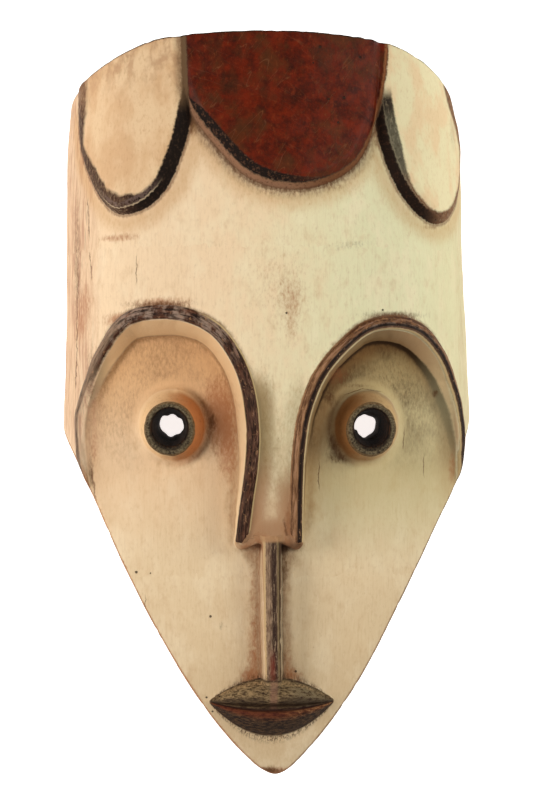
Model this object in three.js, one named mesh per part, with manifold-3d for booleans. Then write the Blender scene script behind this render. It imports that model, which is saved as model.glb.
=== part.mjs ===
// A Fang face mask of Gabon: one block of light wood, hollowed from behind and carved in front with a
// domed forehead, three raised lobes of hair, two arched brows, tube eyes, a thin nose and a lens-shaped
// mouth.
//
// Millimetres. The mask lies on its back, as it does when nobody holds it: the flat rim of its hollow
// side is on Z = 0, the face looks up along +Z, and the crown is towards +Y. The origin is under the
// middle of the mask's outline. All the figures are measured from a point between the brows instead,
// and the finished mask is moved to its middle at the end. Left and right are the viewer's.

import * as THREE from "three";
import { mergeVertices } from "three/addons/utils/BufferGeometryUtils.js";
import Module from "manifold-3d";

const wasm = await Module();
wasm.setup();

// The block: its reach, and how it is hollowed.
const CROWN_Y = 247; // front edge of the sawn top
const RIM_WIDTH = 13; // flat rim at the back
const MIDDLE = [1.92, -2.38]; // the middle of the outline, measured like everything below

// How far cutters reach beyond the wood: under the rim plane, over the highest carving and round it.
const BELOW = -6;
const ABOVE = 134;
const AROUND_X = 220;
const AROUND_Y = 300;
const BLOCK_END_Y = 275; // the vaults run this far both ways before the outline is cut

// The long vault of the forehead. A cross-section is |x / half width| ^ BOW + (z / line) ^ 2 = 1.
// Its sides draw in towards the crown, the right one more, and are widest at the cheek corners.
const BOW = 2.2;
const VAULT_SEGMENTS = 32;
const LEFT_SIDE = [[-60, 141.5], [-14, 141], [40, 139], [120, 138.7], [165, 138], [195, 136.5], [275, 130]];
const RIGHT_SIDE = [
  [-60, 145.5], [-12, 145], [38, 142.6], [109, 139.3], [150, 138.6], [182, 137], [204, 133.5], [228, 128],
  [275, 113],
];
const FOREHEAD_LINE = [
  [-100, 102], [-60, 107], [-20, 113], [30, 117], [80, 117], [140, 112], [200, 102], [280, 88],
];

// The lower face lies deeper than the forehead, under the brows.
const FACE_HALF_WIDTH = 148;
const FACE_LINE = [
  [-262, 55], [-240, 64], [-222, 71], [-188, 80], [-140, 85], [-90, 87], [0, 87], [90, 82],
];

// The hollow behind, from the chin up to the crown, where its end leans with the sawn top.
const HOLLOW_CHIN_Y = -233;
const HOLLOW_CROWN_Y = 201;
const HOLLOW_LEAN_Y = 100; // the lean starts here
const HOLLOW_SEGMENTS = 20;
const HOLLOW_JAW_SLANT = 0.16; // share added to the rim's width where the jaw runs aslant
const HOLLOW_JAW_FULLNESS = 0.14; // squarer corners inside the jaw
const HOLLOW_CROWN_ROUNDING = 0.14; // share of the width lost at the crown end
const HOLLOW_LINE = [
  [-233, 22], [-226, 38], [-210, 52], [-185, 63], [-140, 69], [-90, 71], [-30, 71], [45, 70],
  [58, 73], [75, 82], [100, 93], [135, 95], [165, 88], [185, 73], [194, 60], [201, 44],
];

// The sawn top leans back from the crown. Its front edge is flat in the middle and drops at the
// shoulders: [x, drop].
const TOP_LEAN = 0.25; // millimetres of Y lost for each millimetre of depth
const TOP_EDGE_Z = 98; // depth of the front edge at the crown
const SHOULDERS = [
  [-145, 18], [-130, 14], [-118, 11], [-104, 7.5], [-92, 4.5], [-78, 1.2], [-60, 0], [64, 0], [78, 0.4],
  [90, 2.2], [102, 5.2], [113, 9], [121, 12.5], [129, 18], [145, 32],
];
const SHOULDER_STEPS = 46;

// The jaw, from the left cheek corner round the chin to the right one.
const JAW = [
  [-148, -8], [-141, -20], [-130.5, -39], [-118.5, -64], [-100, -104.5], [-80.5, -143], [-55, -187],
  [-34.5, -216.5], [-16, -238.5], [-5, -248.5], [5, -253], [13.5, -249.5], [28, -234], [48.5, -206.5],
  [68, -175], [91, -131], [115.5, -84], [134, -48.5], [140, -22], [149, -6],
];
const JAW_STEPS = 78;

// The brows: [x, y, run] along the middle of the raised band. The run is how far the foot of the wall
// under the band lies from that middle. The tongue is the end of the bridge between the two brows.
const BAND_HALF_WIDTH = 4.6;
const BAND_PROFILE = [[-1, -7], [-1, 0.4], [-0.72, 2.2], [0, 3.2], [0.72, 2.4], [1, 1], [1, -7]];
const BROW_STEPS = 40;
const TONGUE_STEPS = 6;
const BAND_STEPS = 34;
const SOCKET_FLOOR = 24; // the cut reaches this deep, and the lower face fills it again
const SOCKET_FEET_Z = 50; // heights of the cut's plain outer side beside the feet and the edges
const SOCKET_EDGES_Z = 80;
const SOCKET_END_DROP = 8; // the cut starts this far under the ends of the brows
const LEFT_BROW = [
  [-121, -84, 3.5], [-123.5, -62, 3.5], [-127.5, -38, 6.5], [-129, -12, 9], [-124.5, 8, 12],
  [-112, 37, 14.5], [-95.6, 57, 16], [-74, 61.8, 16.5], [-53.6, 59, 14.5], [-36, 49.5, 12.5],
  [-22.5, 31, 11.5], [-15, 10.5, 11], [-11.7, -16, 10.5], [-12.5, -40, 8.5], [-15.5, -62, 7], [-19, -91, 5],
];
const TONGUE = [[-10, -93.5, 5], [-1.5, -94.5, 5], [7, -93.5, 5]];
const RIGHT_BROW = [
  [17, -91, 5.5], [17.2, -60, 6.5], [18.3, -28, 8], [22.5, -3, 9], [31.5, 20, 9.5], [46, 38, 10],
  [64, 52, 11.5], [83, 55.2, 14], [101, 50.5, 16], [118, 34, 16.5], [128.5, 10, 14], [134.5, -18, 10.5],
  [135, -38, 6.5], [136, -62, 4],
];

// The hair: each lobe is [x, y] round its foot and a point inside it. It stands up from the forehead
// with a steep wall and a bevel over it, and gets thinner round the sides of the head.
const LOBE_RISE = 8.5;
const LOBE_SIDE_THINNING = 0.5; // share of the rise lost at the sides of the head
const LOBE_THINNING_X = [95, 134]; // between these distances from the middle
const LOBE_WALL = [4.5, 0.68]; // [how far in, share of the rise] at the top of the wall
const LOBE_BEVEL = 10; // and where the bevel ends
const LOBE_FOOT = -6; // how deep it is rooted
const LOBE_POINTS = 42;
const LOBE_INNER_RINGS = [0.66, 0.33, 0.04]; // shares of the way out from the middle
const LOBES = [
  {
    middle: [-93, 205],
    outline: [
      [-125, 275], [-128, 235], [-129, 200], [-125, 167], [-115, 142], [-101, 128], [-84, 130],
      [-69, 143], [-58, 168], [-52.5, 191], [-52.5, 225], [-54, 275],
    ],
  },
  {
    middle: [6, 215],
    outline: [
      [-66, 275], [-63, 232], [-55.5, 199], [-38, 172.5], [-15, 149.5], [10, 142], [35, 145.5], [57, 159.5],
      [68, 182], [74.5, 222], [76, 275],
    ],
  },
  {
    middle: [103, 205],
    outline: [
      [66, 275], [67, 230], [69, 195], [75, 168], [84, 147], [98, 130], [113, 122.5], [124, 127],
      [131.5, 142], [134.5, 165], [133, 195], [126, 225], [109, 275],
    ],
  },
];

// The eyes: short tubes, [x, y] at the foot, that lean outwards and a little down. The bore leans less.
const EYES = [[-64, -14], [64.5, -14.5]];
const TUBE_LEAN = [9, 4.5]; // degrees out, degrees down
const BORE_LEAN = [3, 1.5];
const EYE_TALL = 1.06; // the rings are a little taller than wide
const EYE_TUBE = [[0, -14], [30, -14], [23.5, 0], [20.5, 6], [18, 14], [17, 18.5], [15.8, 19.8], [0, 19.8]];
const EYE_BORE = [[0, -32], [8.3, -32], [8.6, -4], [11.2, 13], [12.6, 24], [0, 24]];
const BORE_SHIFT = 2; // the bore opens this much nearer the ring's side of the foot
const EYE_SIDES = 30;

// The nose is a thin fin: [y, middle x, half width in front, half width at its foot, front z].
const NOSE = [
  [-88, 0.6, 5.4, 7, 104], [-95, 0.8, 5.9, 7.6, 104.5], [-122, 1, 5.8, 7.8, 103.5],
  [-152, 1.4, 5.6, 7.6, 101.5], [-178, 2, 5.4, 7.6, 98], [-187, 2.2, 5, 7.2, 95], [-191, 2.4, 3, 5, 91],
  [-198, 2.4, 2.6, 4.4, 88], [-202, 2.4, 1.8, 3.4, 81],
];
const NOSE_ROOT_Z = 58;
const NOSE_FOOT_DEPTH = 14; // how far under the front the fin is as wide as at its foot
const NOSE_ARRIS = 1; // its front corners are worn by this much

// The mouth: two lips between the same corners. Each edge is an arc, given by how far its middle lies
// from the line between the corners.
const MOUTH_LEFT = -41;
const MOUTH_RIGHT = 45;
const MOUTH_Y = -200;
const LIP_TOP = 16.5;
const LIP_RIDGE = 2.5; // front edge of the upper lip
const LIP_LINE = -4.5; // where the lips meet
const LOWER_RIDGE = -8.5;
const LIP_BOTTOM = -24;
const UPPER_RISE = 11;
const LOWER_RISE = 9.5;
const LINE_RISE = 5;
const LIP_ROOT = 8;
const LIP_SWELL = 0.65; // how quickly the lips rise from the corners
const LIP_STEPS = 22;
const LIP_END = 0.985; // they stop just short of the corners, where they have no height

// A smooth line through stations [place, value], as a function of the place.
function lineThrough(stations) {
  const slopes = stations.map((_, i) => {
    const before = stations[Math.max(i - 1, 0)];
    const after = stations[Math.min(i + 1, stations.length - 1)];
    return (after[1] - before[1]) / (after[0] - before[0]);
  });
  return (place) => {
    const at = THREE.MathUtils.clamp(place, stations[0][0], stations.at(-1)[0]);
    const next = stations.findIndex((station) => station[0] > at);
    const i = next < 0 ? stations.length - 2 : next - 1;
    const span = stations[i + 1][0] - stations[i][0];
    const t = (at - stations[i][0]) / span;
    const start = stations[i][1] * (1 + 2 * t) * (1 - t) ** 2 + slopes[i] * span * t * (1 - t) ** 2;
    const end = stations[i + 1][1] * (3 - 2 * t) * t * t - slopes[i + 1] * span * t * t * (1 - t);
    return start + end;
  };
}

const leftSide = lineThrough(LEFT_SIDE);
const rightSide = lineThrough(RIGHT_SIDE);
const foreheadLine = lineThrough(FOREHEAD_LINE);
const faceLine = lineThrough(FACE_LINE);
const hollowLine = lineThrough(HOLLOW_LINE);
const shoulderDrop = lineThrough(SHOULDERS);
const halfWidth = (y, side) => (side < 0 ? leftSide(y) : rightSide(y));

// The height of a vault over the point x, y.
const vaultHeight = (x, line, width) => line * Math.sqrt(Math.max(1 - Math.abs(x / width) ** BOW, 0));
const foreheadAt = (x, y) => vaultHeight(x, foreheadLine(y), halfWidth(y, x));
const faceAt = (x, y) => vaultHeight(x, faceLine(y), FACE_HALF_WIDTH);

// The outward normal of the forehead over x, y, from its slopes across and along.
function foreheadNormal(x, y) {
  const step = 0.5;
  const across = (foreheadAt(x + step, y) - foreheadAt(x - step, y)) / (2 * step);
  const along = (foreheadAt(x, y + step) - foreheadAt(x, y - step)) / (2 * step);
  return new THREE.Vector3(-across, -along, 1).normalize();
}

// A closed geometry from points and triangles, as a solid that faces outwards.
function solidFrom(geometry) {
  geometry.deleteAttribute("normal");
  geometry.deleteAttribute("uv");
  const merged = mergeVertices(geometry, 1e-4);
  const build = (triVerts) => new wasm.Manifold(new wasm.Mesh({
    numProp: 3,
    vertProperties: merged.attributes.position.array,
    triVerts,
  }));
  const corners = new Uint32Array(merged.index.array);
  const made = build(corners);
  return made.volume() > 0 ? made : build(corners.reverse());
}

// The triangles that fill a closed section, turned the same way round as the section runs.
function cap(section) {
  const size = new THREE.Box3().setFromPoints(section).getSize(new THREE.Vector3());
  const thin = size.y < Math.min(size.x, size.z) ? "y" : size.x < size.z ? "x" : "z";
  const [u, v] = { x: ["y", "z"], y: ["z", "x"], z: ["x", "y"] }[thin];
  const flat = section.map((point) => new THREE.Vector2(point[u], point[v]));
  const turn = Math.sign(THREE.ShapeUtils.area(flat));
  return THREE.ShapeUtils.triangulateShape(flat, []).map(([a, b, c]) => {
    const same = Math.sign(THREE.ShapeUtils.area([flat[a], flat[b], flat[c]])) === turn;
    return same ? [a, b, c] : [a, c, b];
  });
}

// A solid through closed sections, each a list of as many points.
function loft(sections) {
  const count = sections[0].length;
  const corners = [];
  for (let s = 0; s + 1 < sections.length; s++) {
    for (let i = 0; i < count; i++) {
      const a = s * count + i;
      const b = s * count + ((i + 1) % count);
      corners.push(a, b, b + count, a, b + count, a + count);
    }
  }
  const last = (sections.length - 1) * count;
  cap(sections[0]).forEach(([a, b, c]) => corners.push(a, c, b));
  cap(sections.at(-1)).forEach(([a, b, c]) => corners.push(last + a, last + b, last + c));
  const geometry = new THREE.BufferGeometry().setFromPoints(sections.flat());
  return solidFrom(geometry.setIndex(corners));
}

// Even stations from one value to another, both included.
const steps = (from, to, count) =>
  Array.from({ length: count + 1 }, (_, i) => from + ((to - from) * i) / count);

// A half-round solid standing on Z = 0: one section for each y, an arch from the left rim to the right.
function vault(line, width, ys, segments) {
  return loft(ys.map((y) => steps(-90, 90, segments).map((degrees) => {
    const angle = THREE.MathUtils.degToRad(degrees);
    const across = Math.sign(angle) * Math.abs(Math.sin(angle)) ** (2 / BOW);
    const height = Math.abs(degrees) === 90 ? 0 : line(y) * Math.cos(angle);
    return new THREE.Vector3(across * width(y, across), y, height);
  })));
}

const splinePoints = (points, count) =>
  new THREE.SplineCurve(points.map(([x, y]) => new THREE.Vector2(x, y))).getPoints(count);

const jawPoints = splinePoints(JAW, JAW_STEPS);

// Everything over the rim plane and inside the jaw outline.
function jawPrism() {
  const [start, end] = [JAW[0][1], JAW.at(-1)[1]];
  const left = [[-AROUND_X, AROUND_Y], [-AROUND_X, start]].map(([x, y]) => new THREE.Vector2(x, y));
  const right = [[AROUND_X, end], [AROUND_X, AROUND_Y]].map(([x, y]) => new THREE.Vector2(x, y));
  const ring = [...left, ...jawPoints, ...right];
  return loft([0, ABOVE].map((z) => ring.map((p) => new THREE.Vector3(p.x, p.y, z))));
}

// Everything below the sawn top, which leans back and has round shoulders.
function topPrism() {
  const places = steps(SHOULDERS[0][0], SHOULDERS.at(-1)[0], SHOULDER_STEPS);
  const edge = [-AROUND_X, ...places, AROUND_X].map((x) => [x, CROWN_Y - shoulderDrop(x)]);
  const ring = [...edge, [AROUND_X, -AROUND_Y], [-AROUND_X, -AROUND_Y]];
  const back = (z) => TOP_LEAN * (z - TOP_EDGE_Z);
  return loft([BELOW, ABOVE].map((z) => ring.map(([x, y]) => new THREE.Vector3(x, y + back(z), z))));
}

// A path with its run, sampled evenly. Each sample has the place, the run and the way to the socket,
// which lies on the right of the path.
function browSamples(points, count) {
  const curve = new THREE.CatmullRomCurve3(points.map((p) => new THREE.Vector3(...p)), false, "centripetal");
  return steps(0, 1, count).map((t) => {
    const at = curve.getPointAt(t);
    const tangent = curve.getTangentAt(t).setZ(0).normalize();
    const inward = new THREE.Vector3(tangent.y, -tangent.x, 0);
    const base = new THREE.Vector3(at.x, at.y, foreheadAt(at.x, at.y));
    const normal = foreheadNormal(at.x, at.y);
    const side = inward.clone().addScaledVector(normal, -inward.dot(normal)).normalize();
    return { base, run: at.z, inward, normal, side };
  });
}

// The raised band of one brow: a low rounded section carried along the path on the forehead.
function browBand(points) {
  const section = ({ base, normal, side }) => BAND_PROFILE.map(([across, up]) =>
    base.clone().addScaledVector(side, across * BAND_HALF_WIDTH).addScaledVector(normal, up));
  return loft(browSamples(points, BAND_STEPS).map(section));
}

// What is cut away under the brows, down to the lower face. Its wall runs from the band's inner edge on
// the forehead to the foot on the face, and stands straight above and below that.
function socketCutter() {
  const path = [
    ...browSamples(LEFT_BROW, BROW_STEPS),
    ...browSamples(TONGUE, TONGUE_STEPS),
    ...browSamples(RIGHT_BROW, BROW_STEPS),
  ];
  const edges = path.map(({ base, side }) => base.clone().addScaledVector(side, BAND_HALF_WIDTH));
  const feet = path.map(({ base, run, inward }) => {
    const foot = base.clone().addScaledVector(inward, run);
    return foot.setZ(faceAt(foot.x, foot.y));
  });
  const below = feet.map((foot) => foot.clone().setZ(SOCKET_FLOOR));
  const above = edges.map((edge) => edge.clone().setZ(ABOVE));
  const [start, end] = [LEFT_BROW[0][1], RIGHT_BROW.at(-1)[1]];
  const around = [
    [AROUND_X, end - SOCKET_END_DROP], [AROUND_X, -AROUND_Y], [-AROUND_X, -AROUND_Y], [-AROUND_X, start],
  ];
  const levels = [[below, SOCKET_FLOOR], [feet, SOCKET_FEET_Z], [edges, SOCKET_EDGES_Z], [above, ABOVE]];
  return loft(levels.map(([wall, z]) => [
    ...wall,
    ...around.map(([x, y]) => new THREE.Vector3(x, y, z)),
  ]));
}

// One lobe of hair: rings that shrink from its root to its middle, all on or over the forehead.
function lobe({ middle, outline }) {
  const centre = new THREE.Vector2(...middle);
  const curve = new THREE.SplineCurve([...outline, outline[0]].map(([x, y]) => new THREE.Vector2(x, y)));
  const edge = curve.getSpacedPoints(LOBE_POINTS).slice(0, -1);
  const ring = (inset, share, height) => edge.map((point) => {
    const reach = point.distanceTo(centre);
    const at = centre.clone().lerp(point, ((reach - inset) / reach) * share);
    const beside = THREE.MathUtils.smoothstep(Math.abs(at.x), ...LOBE_THINNING_X);
    const thinning = 1 - LOBE_SIDE_THINNING * beside;
    const rise = height < 0 ? height : height * LOBE_RISE * thinning;
    return new THREE.Vector3(at.x, at.y, foreheadAt(at.x, at.y))
      .addScaledVector(foreheadNormal(at.x, at.y), rise);
  });
  return loft([
    ring(0, 1, LOBE_FOOT), ring(0, 1, 0), ring(LOBE_WALL[0], 1, LOBE_WALL[1]), ring(LOBE_BEVEL, 1, 1),
    ...LOBE_INNER_RINGS.map((share) => ring(LOBE_BEVEL, share, 1)),
  ]);
}

// A round solid of an eye, standing on the lower face and leaning by [degrees out, degrees down].
function eyePiece([x, y], profile, [out, down], shift) {
  const geometry = new THREE.LatheGeometry(profile.map(([r, h]) => new THREE.Vector2(r, h)), EYE_SIDES);
  geometry.rotateX(Math.PI / 2).scale(1, EYE_TALL, 1);
  geometry.rotateX(THREE.MathUtils.degToRad(down)).rotateY(Math.sign(x) * THREE.MathUtils.degToRad(out));
  return solidFrom(geometry.translate(x + Math.sign(x) * shift, y, faceAt(x, y)));
}

// The nose, with its end drawn out over the upper lip.
function nose() {
  return loft(NOSE.map(([y, middle, front, foot, z]) => {
    const half = [
      [front - NOSE_ARRIS, z], [front, z - NOSE_ARRIS], [foot, z - NOSE_FOOT_DEPTH], [foot, NOSE_ROOT_Z],
    ];
    const section = [...half.map(([x, height]) => [-x, height]).reverse(), ...half];
    return section.map(([x, height]) => new THREE.Vector3(middle + x, y, height));
  }));
}

// One lip: sections across the mouth, each through the given [bow of the edge, rise over the face].
function lip(edges) {
  const middle = (MOUTH_LEFT + MOUTH_RIGHT) / 2;
  const half = (MOUTH_RIGHT - MOUTH_LEFT) / 2;
  return loft(steps(-LIP_END, LIP_END, LIP_STEPS).map((t) => {
    const full = 1 - t * t;
    const x = middle + half * t;
    return edges.map(([bow, rise]) => {
      const y = MOUTH_Y + bow * full;
      const height = rise < 0 ? rise : rise * full ** LIP_SWELL;
      return new THREE.Vector3(x, y, faceAt(x, y) + height);
    });
  }));
}

function mouth() {
  const upper = lip([
    [LIP_TOP, -LIP_ROOT], [LIP_TOP, -0.5], [LIP_TOP - 4, UPPER_RISE * 0.55], [LIP_RIDGE + 2, UPPER_RISE],
    [LIP_RIDGE - 1, UPPER_RISE - 0.8], [LIP_LINE + 1.5, LINE_RISE], [LIP_LINE - 1, LINE_RISE],
    [LIP_LINE - 1, -LIP_ROOT],
  ]);
  const lower = lip([
    [LIP_LINE + 1, -LIP_ROOT], [LIP_LINE + 1, LINE_RISE * 0.9], [LIP_LINE - 1, LINE_RISE * 0.9],
    [LOWER_RIDGE + 1.5, LOWER_RISE - 0.8], [LOWER_RIDGE - 1, LOWER_RISE],
    [LOWER_RIDGE - 6, LOWER_RISE * 0.78], [LIP_BOTTOM + 3, LOWER_RISE * 0.4],
    [LIP_BOTTOM, -0.5], [LIP_BOTTOM, -LIP_ROOT],
  ]);
  return upper.add(lower);
}

// The hollow: sections from the chin to the crown that keep the rim's width from the outline.
function hollow() {
  const split = jawPoints.reduce((low, p, i) => (p.y < jawPoints[low].y ? i : low), 0);
  const edgeAt = (points, y, side) => {
    const i = points.findIndex((p, n) => n > 0 && (points[n - 1].y - y) * (p.y - y) <= 0);
    if (i < 0) return side * halfWidth(y, side);
    const share = (y - points[i - 1].y) / (points[i].y - points[i - 1].y);
    const jaw = THREE.MathUtils.lerp(points[i - 1].x, points[i].x, share);
    return side * Math.min(Math.abs(jaw), halfWidth(y, side));
  };
  const leftJaw = jawPoints.slice(0, split + 1);
  const rightJaw = jawPoints.slice(split);
  const chin = steps(HOLLOW_CHIN_Y, -206, 3);
  const crown = [182, 190, 196, HOLLOW_CROWN_Y];
  return loft([...chin, ...steps(-190, 170, 18), ...crown].map((y) => {
    const slant = 1 + HOLLOW_JAW_SLANT * THREE.MathUtils.smoothstep(-y, 10, 60);
    const left = edgeAt(leftJaw, y, -1) + RIM_WIDTH * slant;
    const right = edgeAt(rightJaw, y, 1) - RIM_WIDTH * slant;
    const boxy = 0.5 - HOLLOW_JAW_FULLNESS * THREE.MathUtils.smoothstep(-y, 20, 120);
    const lean = TOP_LEAN * THREE.MathUtils.smoothstep(y, HOLLOW_LEAN_Y, HOLLOW_CROWN_Y);
    const round = 1 - HOLLOW_CROWN_ROUNDING * THREE.MathUtils.smoothstep(y, 165, HOLLOW_CROWN_Y) ** 2;
    const arch = steps(-1, 1, HOLLOW_SEGMENTS).map((t) => {
      const bent = Math.sin((t * Math.PI) / 2);
      const x = (left + right) / 2 + ((right - left) / 2) * bent * round;
      const z = hollowLine(y) * Math.max(1 - Math.abs(bent) ** (BOW / (2 * boxy)), 0) ** boxy;
      return new THREE.Vector3(x, y + lean * z, Math.max(z, 0));
    });
    const floor = [arch.at(-1), arch[0]].map((p) => new THREE.Vector3(p.x, p.y, BELOW));
    return [...arch, ...floor];
  }));
}

function carve() {
  const forehead = vault(foreheadLine, halfWidth, steps(-BLOCK_END_Y, BLOCK_END_Y, 30), VAULT_SEGMENTS);
  const faceRows = [...steps(-BLOCK_END_Y, -195, 9), ...steps(-180, 85, 13)];
  const face = vault(faceLine, () => FACE_HALF_WIDTH, faceRows, VAULT_SEGMENTS);
  let work = forehead.subtract(socketCutter()).add(face.intersect(forehead));
  [LEFT_BROW, RIGHT_BROW].forEach((brow) => {
    work = work.add(browBand(brow));
  });
  LOBES.forEach((shape) => {
    work = work.add(lobe(shape));
  });
  work = work.add(nose()).add(mouth());
  EYES.forEach((eye) => {
    work = work.add(eyePiece(eye, EYE_TUBE, TUBE_LEAN, 0));
  });
  work = work.intersect(jawPrism()).intersect(topPrism()).subtract(hollow());
  EYES.forEach((eye) => {
    work = work.subtract(eyePiece(eye, EYE_BORE, BORE_LEAN, BORE_SHIFT));
  });
  return work;
}

function meshOf(name, solid, material) {
  const { vertProperties, triVerts, numProp } = solid.getMesh();
  const geometry = new THREE.BufferGeometry();
  geometry.setAttribute("position", new THREE.BufferAttribute(new Float32Array(vertProperties), numProp));
  geometry.setIndex(new THREE.BufferAttribute(triVerts, 1));
  geometry.translate(-MIDDLE[0], -MIDDLE[1], 0);
  geometry.computeVertexNormals();
  const mesh = new THREE.Mesh(geometry, material);
  mesh.name = name;
  return mesh;
}

const whitenedWood = new THREE.MeshStandardMaterial({ color: 0xdcc9a6, roughness: 0.78, metalness: 0 });

const mask = new THREE.Group();
mask.add(meshOf("mask", carve(), whitenedWood));

export default mask;
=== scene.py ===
# %% [markdown]
# A carved and whitened wooden face mask
#
# The mask is one block of light wood. A carver hollowed it from behind, left a domed forehead, cut the
# lower face back under two arched brows, and left standing two tube eyes, a fin of a nose and a
# lens-shaped mouth. Then it was whitened with clay, and its edges were painted dark.
#
# This script makes the surface of that block in numpy and paints it with nodes. It starts by loading the
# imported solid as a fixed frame, so that everything made here lands where the solid lies.

import bpy
import numpy as np
from mathutils import Matrix, Vector


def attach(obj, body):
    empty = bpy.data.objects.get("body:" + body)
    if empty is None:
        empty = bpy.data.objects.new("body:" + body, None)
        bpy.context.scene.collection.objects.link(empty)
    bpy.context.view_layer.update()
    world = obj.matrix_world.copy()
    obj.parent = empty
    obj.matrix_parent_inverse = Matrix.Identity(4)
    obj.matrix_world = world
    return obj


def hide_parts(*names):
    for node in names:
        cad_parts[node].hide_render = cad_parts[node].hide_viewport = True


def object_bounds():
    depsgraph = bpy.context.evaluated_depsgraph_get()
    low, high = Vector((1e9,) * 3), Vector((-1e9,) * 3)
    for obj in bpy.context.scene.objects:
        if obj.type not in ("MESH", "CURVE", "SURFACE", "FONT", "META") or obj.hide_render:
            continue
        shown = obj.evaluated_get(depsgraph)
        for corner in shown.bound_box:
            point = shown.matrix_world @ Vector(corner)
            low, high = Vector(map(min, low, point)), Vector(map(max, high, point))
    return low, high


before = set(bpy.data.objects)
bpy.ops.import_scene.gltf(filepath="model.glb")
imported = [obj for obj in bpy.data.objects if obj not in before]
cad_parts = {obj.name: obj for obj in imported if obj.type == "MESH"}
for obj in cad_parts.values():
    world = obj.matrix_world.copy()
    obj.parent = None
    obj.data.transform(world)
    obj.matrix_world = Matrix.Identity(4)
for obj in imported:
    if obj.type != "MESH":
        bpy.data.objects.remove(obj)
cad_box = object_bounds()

MM = 0.001  # the figures below are millimetres, and Blender's unit is the metre


def add(name, data):
    """Makes an object of that data and puts it into the scene."""
    new = bpy.data.objects.new(name, data)
    bpy.context.scene.collection.objects.link(new)
    return new


def set_inputs(node, values):
    """Sets inputs of a node, each by its name."""
    for name, value in values.items():
        node.inputs[name].default_value = value


print("the solid's box in mm:", [[round(v / MM, 1) for v in corner] for corner in cad_box])

# %% [markdown]
# The camera
#
# The mask lies on its back on the floor, so the camera looks down on it. It stands a metre and a half
# above, a little to the left and towards the crown, and uses a long lens, which keeps the far side of the
# jaw from shrinking. A camera that looks straight down has no natural upright, so its axes are built by
# hand: the third axis points from the aim back to the camera, and the crown is up.

# %% Camera
CAMERA_AIM = Vector((-1.92, 2.38, 40)) * MM
CAMERA_PLACE = Vector((-67.32, 28.58, 1538.3)) * MM
CAMERA_LENS = 96.9  # millimetres, on a sensor whose long side is 36

backward = (CAMERA_PLACE - CAMERA_AIM).normalized()
rightward = Vector((0, 1, 0)).cross(backward).normalized()
upward = backward.cross(rightward)
camera_data = bpy.data.cameras.new("camera")
camera_data.lens = CAMERA_LENS
camera = add("camera", camera_data)
turn = Matrix((rightward, upward, backward)).transposed().to_4x4()
camera.matrix_world = Matrix.Translation(CAMERA_PLACE) @ turn
bpy.context.scene.camera = camera
print("the camera stands", round((CAMERA_PLACE - CAMERA_AIM).length, 3), "m away")

# %% [markdown]
# Lines and paths
#
# One carved block could be sculpted by hand, or put together from simple bodies. Here it is a signed
# distance: a function that says for every place how far it lies outside the wood, with a minus sign
# inside. Two bodies joined are then the smaller of their distances, one cut from another is the larger,
# and a soft version of either gives the worn edge or the filled corner that a knife leaves. The hollow,
# the tubes and the steep walls under the brows are all one surface that way, with no seams. A grid of
# heights couldn't do it, because the mask has a back and holes.
#
# The first tools are a smooth line through a few measured stations, a smooth path through a few points,
# and the distance from many places to such a path. The figures are measured from a point between the
# brows. MIDDLE is where the middle of the outline lies from there, and the finished skin is moved by it.

# %% Lines and paths
MIDDLE = np.array([1.92, -2.38])
TABLE_STEP = 0.5  # spacing of the tables that the smooth lines are read from
SPAN_STEPS = 6  # straight pieces between two points of a path
CHUNK = 6000  # places compared with a path at a time, so that the arrays stay small
TINY = 1e-9  # keeps a division from meeting nought


def line_through(stations):
    """A smooth line through stations (place, value), as a function of the place.

    Between two stations it is a cubic. Its slope at a station is the rise from the station before to the
    one after, over the distance between them.
    """
    place, value = np.array(stations, float).T
    order = np.arange(len(place))
    before, after = np.maximum(order - 1, 0), np.minimum(order + 1, order[-1])
    slope = (value[after] - value[before]) / (place[after] - place[before])
    at = np.arange(place[0], place[-1] + TABLE_STEP, TABLE_STEP).clip(place[0], place[-1])
    i = np.clip(np.searchsorted(place, at, side="right") - 1, 0, order[-1] - 1)
    span = place[i + 1] - place[i]
    t = (at - place[i]) / span
    start = (value[i] * (1 + 2 * t) + slope[i] * span * t) * (1 - t) ** 2
    end = (value[i + 1] * (3 - 2 * t) - slope[i + 1] * span * (1 - t)) * t ** 2
    return lambda where: np.interp(where, at, start + end)


def path_through(points):
    """A smooth path through points of any number of coordinates, as an array of closer points.

    It is a Catmull-Rom curve whose parameter grows with the square root of the distance between points,
    which keeps it from overshooting where the points are uneven.
    """
    p = np.array(points, float)
    p = np.vstack([2 * p[0] - p[1], p, 2 * p[-1] - p[-2]])
    pace = np.sqrt(np.linalg.norm(np.diff(p, axis=0), axis=1))[:, None]
    a, b, c, d = p[:-3], p[1:-2], p[2:-1], p[3:]
    before, during, after = pace[:-2], pace[1:-1], pace[2:]
    leave = during * ((b - a) / before - (c - a) / (before + during) + (c - b) / during)
    arrive = during * ((c - b) / during - (d - b) / (during + after) + (d - c) / after)
    t = (np.arange(SPAN_STEPS) / SPAN_STEPS)[:, None, None]
    curve = (b * (1 + 2 * t) + leave * t) * (1 - t) ** 2 + (c * (3 - 2 * t) - arrive * (1 - t)) * t ** 2
    return np.vstack([curve.transpose(1, 0, 2).reshape(-1, p.shape[1]), p[-2]])


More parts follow.
